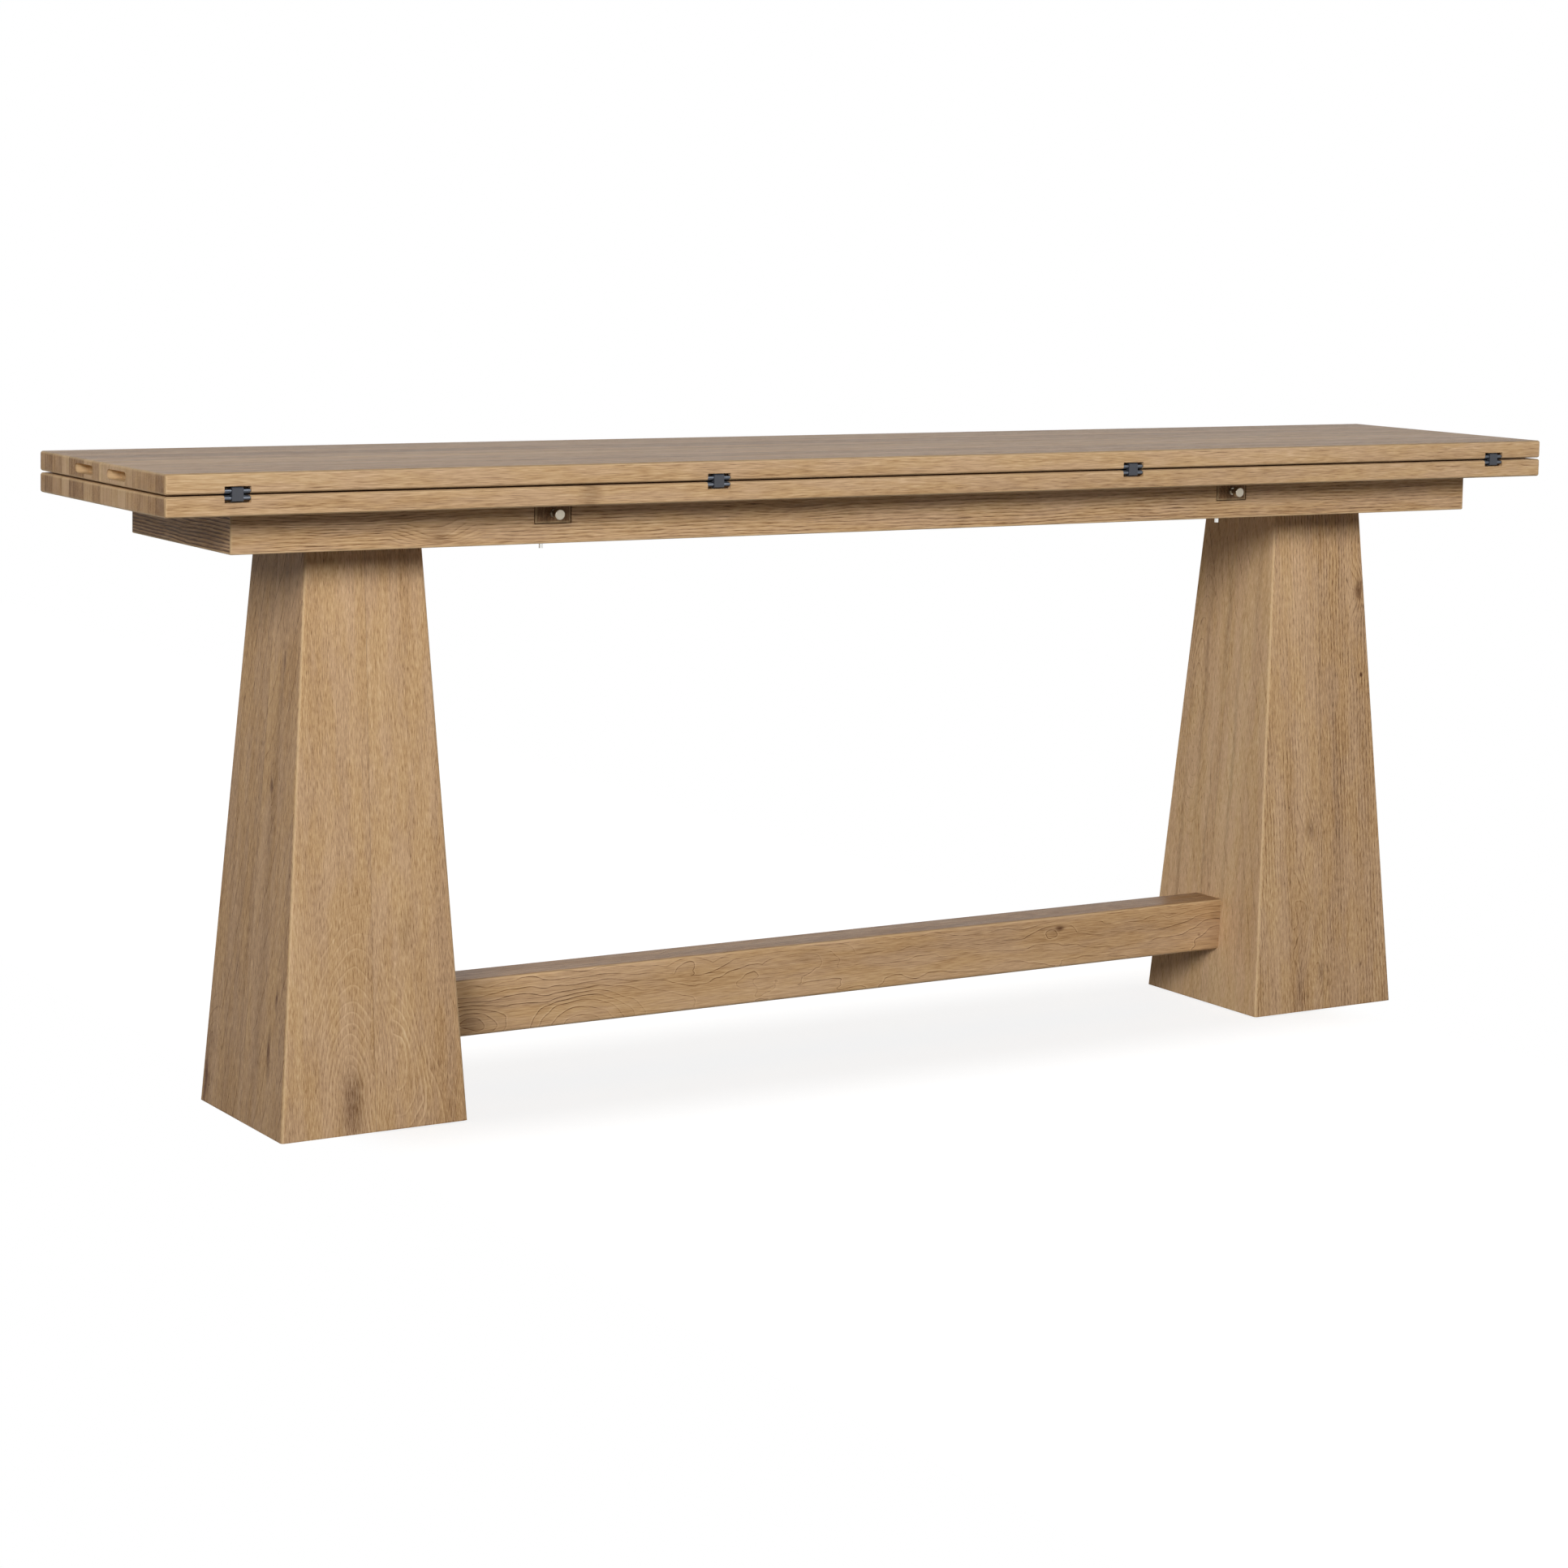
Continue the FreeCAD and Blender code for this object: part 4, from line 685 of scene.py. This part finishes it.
for side, leg_x in (("left", -LEG_X), ("right", LEG_X)):
    for face, order, middle in (("front", "zxy", leg_x), ("back", "zxy", leg_x), ("outer", "zyx", 0.0),
                                ("inner", "zyx", 0.0)):
        name = f"{side}_{face}"
        floor_shade = (middle / MILLIMETRE, 0, *FLOOR_SHADE_REACH, 0.0, FLOOR_SHADE.get(name, LEG_FLOOR_SHADE))
        oak_board(f"{side}_leg_{face}_panel", order=order, stave=(LEG_BOARD, middle + LEG_BOARD / 2, 0.0),
                  pith=LEG_PITHS.get(name, QUARTER_SAWN), leg_x=leg_x, tone=LEG_TONES.get(name, 0.0),
                  line=LEG_LINES.get(name, LEG_LINE), swirl=LEG_SWIRLS.get(name, LEG_SWIRL),
                  growth={**LEG_GROWTH, "ripple": LEG_RIPPLES.get(name, LEG_GROWTH["ripple"])},
                  knots=LEG_KNOTS.get(name, []) + [floor_shade], **LEG)
print(f"{sum(len(knots) for knots in LEG_KNOTS.values())} knots and streaks on the legs")

# %% [markdown]
# ## The stretcher and the pull-out bars
#
# The stretcher was sawn along wide rings close under its face, so thin lines wander over it like the contour
# lines of a map and close round each swell of the wood. Its upper face has the same last coat as the leaves,
# and is painted darker than the front, as painted shade on an upper face. The bars that carry the opened
# leaves are of a browner oak.

# %% Stretcher and lopers
STRETCHER_KNOTS = [
    (64, -381, 60, 85, 6.0, 0.1), (104, -420, 56, 230, 3.0, 0.0), (138, -237, 16, 34, 2.0, 0.0),
    (92, -540, 28, 60, 4.0, 0.5), (119, -143, 34, 90, 2.5, 0.0), (130, -62, 26, 70, 2.5, 0.2),
    (128, 313, 16, 50, 1.5, 0.4), (130, 327, 13, 26, 0.0, 1.2), (102, 557, 7, 7, 0.0, 0.8),
    (112, 590, 60, 90, 1.5, 0.0)]
# The stretcher's upper face has the last coat, painted darker as painted shade
oak_board("stretcher", order="xzy", stave=ONE_BOARD, pith=(0.0, 0.05, 0.3), tone=0.02, contrast=0.0,
          line=0.34, swirl=0.2, line_width=1.4, grain=0.75, knots=STRETCHER_KNOTS,
          growth=dict(width=9.0 * MILLIMETRE, drift=4.0, ripple=2.2, lean=0.02),
          coat_and_shade_level=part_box("stretcher")[1].z - COAT_AND_SHADE_DEPTH)
for name in ("front_left", "front_right", "back_left", "back_right"):
    oak_board(f"{name}_loper", order="yxz", stave=ONE_BOARD, pith=(0.2, 0.1, 0.60), tone=0.26, contrast=0.0,
              line=0.14, growth=dict(width=4.0 * MILLIMETRE, drift=1.0, ripple=0.6, lean=0.0))
oak_names = [name for name in bpy.data.materials.keys() if name.startswith("planed and oiled oak")]
print(f"{len(oak_names)} boards dressed in oak")

# %% [markdown]
# ## Metals, nylon, felt and softwood
#
# The small pieces share one kind of tree: a fine mottle drives colour, roughness and a slight relief. What
# differs is the real surface behind it, so each finish states the size of its marks in millimetres. A painted
# piece is told from bare metal by its reflection: paint reflects a little white, metal its own colour.

# %% Finishes of the small pieces
MOTTLE_DETAIL = 4.0
SOFT_RELIEF = 0.3


def drive_finish(tree, shader, pattern, tones, rough, relief, metallic):
    """Let a pattern drive the colour, the roughness and a relief, whose depth is in millimetres."""
    dark, pale = (linear(tone) for tone in tones)
    colour = add(tree, "ShaderNodeMix", {MIX_FACTOR: pattern, MIX_A: dark, MIX_B: pale},
                 data_type="RGBA").outputs[MIX_RESULT]
    roughness = add(tree, "ShaderNodeMapRange", {"Value": pattern, "To Min": rough[0],
                                                 "To Max": rough[1]}).outputs[0]
    bump = add(tree, "ShaderNodeBump", {"Strength": SOFT_RELIEF, "Distance": relief * MILLIMETRE,
                                        "Height": pattern}).outputs[0]
    for socket, target in ((colour, "Base Color"), (roughness, "Roughness"), (bump, "Normal")):
        tree.links.new(socket, shader.inputs[target])
    shader.inputs["Metallic"].default_value = metallic


def mottled(name, nodes, tones, marks, rough, relief, metallic=0.0):
    """A finish with marks of a real size along x, y and z and a depth of relief, all in millimetres."""
    material, tree, shader = new_material(name)
    place = add(tree, "ShaderNodeTexCoord", {}).outputs["Object"]
    repeats = [1 / (size * MILLIMETRE) for size in marks]
    scaled = add(tree, "ShaderNodeMapping", {"Vector": place, "Scale": repeats}).outputs[0]
    mottle = add(tree, "ShaderNodeTexNoise", {"Vector": scaled, "Scale": 1.0,
                                              "Detail": MOTTLE_DETAIL}).outputs["Fac"]
    drive_finish(tree, shader, mottle, tones, rough, relief, metallic)
    for node_name in nodes:
        dress(node_name, material)


pieces = {}
for part in frame["record"]["subparts"]:
    pieces.setdefault(part["material_slot"], []).append(part["node"])
hinge_plates = [name for name in pieces["steel"] if name.endswith("hinge_plates")]
zinc_pieces = [name for name in pieces["steel"] if name not in hinge_plates + ["stop_pins"]]

# Satin black paint on the links: flat and even, with a soft white veil
mottled("satin black paint, sprayed", pieces["dark_metal"], ("#2f3137", "#3b3d44"), (1.5, 1.5, 1.5),
        (0.42, 0.55), 0.03)
# Gunmetal on the hinge plates: dark and metallic, so only the rounded tops of the knuckles catch the light
mottled("blackened steel, tumbled", hinge_plates, ("#45494f", "#6a6e76"), (3.0, 0.6, 0.6), (0.32, 0.45), 0.03,
        metallic=1.0)
# Zinc: a cool pale grey with drawn streaks along the pins and screws
mottled("zinc plated steel, drawn", zinc_pieces, ("#8d9092", "#c4c6c8"), (5.0, 0.7, 0.7), (0.25, 0.45), 0.03,
        metallic=1.0)
# Nickel on the stop pins is so bright that a pin end nearly vanishes against white
mottled("bright nickel plate", ["stop_pins"], ("#dcdcd8", "#f0f0ec"), (1.0, 1.0, 4.0), (0.15, 0.25), 0.01,
        metallic=1.0)
# Turned brass for the threaded inserts: yellow with fine turning marks
mottled("brass, turned", pieces["brass"], ("#9a7a3c", "#c8a75c"), (0.8, 0.8, 0.8), (0.3, 0.5), 0.03,
        metallic=1.0)
# Moulded nylon under the feet: near black and dull
mottled("nylon, moulded", pieces["nylon"], ("#1c1815", "#2d2723"), (0.8, 0.8, 0.8), (0.5, 0.65), 0.05)
# Pressed felt: a soft brown with no sheen
mottled("wool felt, pressed", pieces["felt"], ("#4a3626", "#6d5440"), (0.6, 0.6, 0.6), (0.9, 1.0), 0.3)
# Pine inside the table, planed and left bare: pale yellow with long soft streaks
mottled("pine, planed", pieces["inner_wood"], ("#c49e6c", "#dcbc8c"), (60.0, 4.0, 4.0), (0.6, 0.75), 0.2)
print({slot: len(names) for slot, names in pieces.items()})

# %% [markdown]
# ## The knobs
#
# A knob is turned from bar and plated with satin nickel, so its fine marks run in circles round its axis.
# They follow from the distance to the axis, which a Mapping node moves to the middle of each knob. Real
# turning marks are about 0.05 mm apart, and are drawn 0.5 mm apart here, so that they show.

# %% Satin nickel knobs
TURNING_MARK = 0.5 * MILLIMETRE
TURNING_DETAIL = 2.0
# How deep the marks are, in millimetres
TURNING_RELIEF = 0.02
NICKEL_TONES = ("#968d7c", "#c0b8a7")
NICKEL_ROUGHNESS = (0.28, 0.42)
for node_name in pieces["satin_nickel"]:
    material, tree, shader = new_material(f"satin nickel, turned, {node_name.replace('_', ' ')}")
    low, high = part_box(node_name)
    axis = (low + high) / 2
    place = add(tree, "ShaderNodeTexCoord", {}).outputs["Object"]
    from_axis = add(tree, "ShaderNodeMapping", {"Vector": place, "Location": (-axis.x, 0.0, -axis.z),
                                                "Scale": (1.0, 0.0, 1.0)}).outputs[0]
    radius = add(tree, "ShaderNodeVectorMath", {0: from_axis}, operation="LENGTH").outputs["Value"]
    circles = add(tree, "ShaderNodeTexNoise", {"W": radius, "Scale": 1 / TURNING_MARK,
                                               "Detail": TURNING_DETAIL},
                  noise_dimensions="1D").outputs["Fac"]
    drive_finish(tree, shader, circles, NICKEL_TONES, NICKEL_ROUGHNESS, TURNING_RELIEF, metallic=1.0)
    dress(node_name, material)
print(f"{len(pieces['satin_nickel'])} knobs, last axis at x {axis.x:.3f} m, z {axis.z:.3f} m")

# %% [markdown]
# ## The camera
#
# The photograph was taken from the front left, a little above the top, with a long lens. Its place, direction
# and focal length were fitted to corners and edges of the table in the picture. The axis of the lens meets
# the picture above its middle, as after a crop. So the lens is shifted here, and the camera tilts down only
# a little, which keeps upright edges nearly upright.

# %% Camera
PHOTO_WIDTH = 1932
SENSOR_WIDTH = 36.0
FOCAL_PIXELS = 4472.29
OPTICAL_CENTRE = (970.32, 652.53)
CAMERA_PLACE = (-2.46717, -3.81753, 1.0657)
# Degrees to the right of straight back, above level, and rolled
CAMERA_TURN = (31.9123, -5.0986, 1.0762)
FARTHEST_SEEN = 200.0
yaw, pitch, roll = (math.radians(angle) for angle in CAMERA_TURN)
ahead = Vector((math.sin(yaw) * math.cos(pitch), math.cos(yaw) * math.cos(pitch), math.sin(pitch)))
right = Vector((math.cos(yaw), -math.sin(yaw), 0.0))
up = right.cross(ahead)
right, up = math.cos(roll) * right + math.sin(roll) * up, math.cos(roll) * up - math.sin(roll) * right
lens = bpy.data.cameras.new("photo camera")
lens.sensor_width = SENSOR_WIDTH
lens.lens = FOCAL_PIXELS / PHOTO_WIDTH * SENSOR_WIDTH
lens.shift_x = 0.5 - OPTICAL_CENTRE[0] / PHOTO_WIDTH
lens.shift_y = OPTICAL_CENTRE[1] / PHOTO_WIDTH - 0.5
lens.clip_end = FARTHEST_SEEN
camera = bpy.data.objects.new("photo camera", lens)
camera.matrix_world = Matrix.Translation(CAMERA_PLACE) @ Matrix((right, up, -ahead)).transposed().to_4x4()
bpy.context.scene.collection.objects.link(camera)
bpy.context.scene.camera = camera
print(f"lens of {lens.lens:.0f} mm")

# %% [markdown]
# ## A white floor that keeps a shadow
#
# The photograph's background is pure white, and only a pale grey shadow lies under the table. A floor that is
# lit to white would throw too much light back on the table, so most of the white is a glow that only the
# camera and reflections see. The rest is light from straight above, and where the table keeps it off, the
# floor turns grey. The shadow in the photograph lies between the legs alone, so beyond them the floor fades
# to plain white.

# %% Floor and world
WHITE = linear("#ffffff")
FLOOR_SIZE = 30.0
FLOOR_GLOW = 0.85
FLOOR_GREY = "#959595"
FLOOR_ROUGHNESS = 0.9
# Where the shadow starts to fade, from the table's middle, and over how many metres: both lie under the legs
SHADOW_REACH, SHADOW_FADE = 0.66, 0.1
WORLD_FILL = 0.012


def seen_rays(tree):
    """1 for the rays that look at the white: camera rays, and those that metal and glass send on."""
    rays = add(tree, "ShaderNodeLightPath", {}).outputs
    seen = rays["Is Camera Ray"]
    for name in ("Is Glossy Ray", "Is Transmission Ray"):
        seen = add(tree, "ShaderNodeMath", {0: seen, 1: rays[name]}, operation="MAXIMUM").outputs[0]
    return seen


shape = bmesh.new()
bmesh.ops.create_grid(shape, x_segments=1, y_segments=1, size=FLOOR_SIZE)
floor_mesh = bpy.data.meshes.new("floor")
shape.to_mesh(floor_mesh)
shape.free()
floor = bpy.data.objects.new("floor", floor_mesh)
bpy.context.scene.collection.objects.link(floor)
material, tree, shader = new_material("studio floor, painted white")
shader.inputs["Base Color"].default_value = linear(FLOOR_GREY)
shader.inputs["Roughness"].default_value = FLOOR_ROUGHNESS
share = add(tree, "ShaderNodeMath", {0: seen_rays(tree), 1: FLOOR_GLOW}, operation="MULTIPLY").outputs[0]
glow = add(tree, "ShaderNodeEmission", {"Color": WHITE, "Strength": share}).outputs[0]
both = add(tree, "ShaderNodeAddShader", {0: shader.outputs[0], 1: glow}).outputs[0]
place = add(tree, "ShaderNodeTexCoord", {}).outputs["Object"]
from_middle = add(tree, "ShaderNodeSeparateXYZ", {0: place}).outputs["X"]
from_middle = add(tree, "ShaderNodeMath", {0: from_middle}, operation="ABSOLUTE").outputs[0]
beyond = add(tree, "ShaderNodeMapRange", {"Value": from_middle, "From Min": SHADOW_REACH,
                                          "From Max": SHADOW_REACH + SHADOW_FADE},
             interpolation_type="SMOOTHSTEP").outputs[0]
beyond = add(tree, "ShaderNodeMath", {0: beyond, 1: seen_rays(tree)}, operation="MULTIPLY").outputs[0]
plain_white = add(tree, "ShaderNodeEmission", {"Color": WHITE}).outputs[0]
cut_out = add(tree, "ShaderNodeMixShader", {0: beyond, 1: both, 2: plain_white}).outputs[0]
tree.links.new(cut_out, tree.nodes["Material Output"].inputs["Surface"])
floor_mesh.materials.append(material)

world = bpy.data.worlds.new("studio")
bpy.context.scene.world = world
world.use_nodes = True
tree = world.node_tree
tree.nodes.clear()
strength = add(tree, "ShaderNodeMapRange", {"Value": seen_rays(tree), "To Min": WORLD_FILL,
                                            "To Max": 1.0}).outputs[0]
background = add(tree, "ShaderNodeBackground", {"Color": WHITE, "Strength": strength}).outputs[0]
add(tree, "ShaderNodeOutputWorld", {0: background})
print(f"floor {2 * FLOOR_SIZE:.0f} m wide, world fill {WORLD_FILL}")

# %% [markdown]
# ## Light
#
# The front of the table is a little brighter than its left side, shadows under the top are soft, and the
# upper faces are dull. That is the light of two large softboxes, one to the right of the camera and one far
# to the left, both so far off that little of their light falls on the upper faces. Two low ones fill the back
# and the right end, and are kept out of reflections. Light linking keeps all four off the floor, so that they
# draw no shadows there, and keeps the ceiling light for the floor alone.

# %% Lamps
# Place, target and size in metres, power in watts
SOFTBOXES = {
    "right softbox": ((2.0, -6.2, 3.5), (0.0, 0.0, 0.5), (3.2, 2.4), 180),
    "left softbox": ((-6.0, -5.4, 3.7), (0.0, 0.0, 0.5), (3.4, 2.6), 535),
    "back softbox": ((0.6, 5.0, 0.45), (0.0, 0.0, 0.4), (3.0, 0.5), 110),
    "end softbox": ((5.0, 0.8, 0.45), (0.7, 0.0, 0.4), (1.6, 0.5), 85),
}
FILLS = ("back softbox", "end softbox")
CEILING_STRENGTH = 1.6
CEILING_SPREAD = math.radians(14)


def softbox(name, place, target, size, watts):
    """A large flat lamp that faces a point."""
    lamp = bpy.data.lights.new(name, "AREA")
    lamp.shape = "RECTANGLE"
    lamp.size, lamp.size_y = size
    lamp.energy = watts
    holder = bpy.data.objects.new(name, lamp)
    bpy.context.scene.collection.objects.link(holder)
    aim = Vector(target) - Vector(place)
    holder.matrix_world = Matrix.Translation(place) @ aim.to_track_quat("-Z", "Y").to_matrix().to_4x4()
    holder.visible_glossy = name not in FILLS
    return holder


lamps = [softbox(name, *settings) for name, settings in SOFTBOXES.items()]
ceiling = bpy.data.lights.new("ceiling light", "SUN")
ceiling.energy = CEILING_STRENGTH
ceiling.angle = CEILING_SPREAD
ceiling_lamp = bpy.data.objects.new("ceiling light", ceiling)
bpy.context.scene.collection.objects.link(ceiling_lamp)
for lamp in lamps + [ceiling_lamp]:
    lit = bpy.data.collections.new(f"lit by the {lamp.name}")
    lit.objects.link(floor)
    lit.collection_objects[0].light_linking.link_state = "INCLUDE" if lamp == ceiling_lamp else "EXCLUDE"
    lamp.light_linking.receiver_collection = lit
print(f"{len(lamps)} softboxes and a ceiling light")

# %% [markdown]
# ## Colours as written
#
# The standard view transform shows each colour as it is written.

# %% Finish
bpy.context.scene.view_settings.view_transform = "Standard"
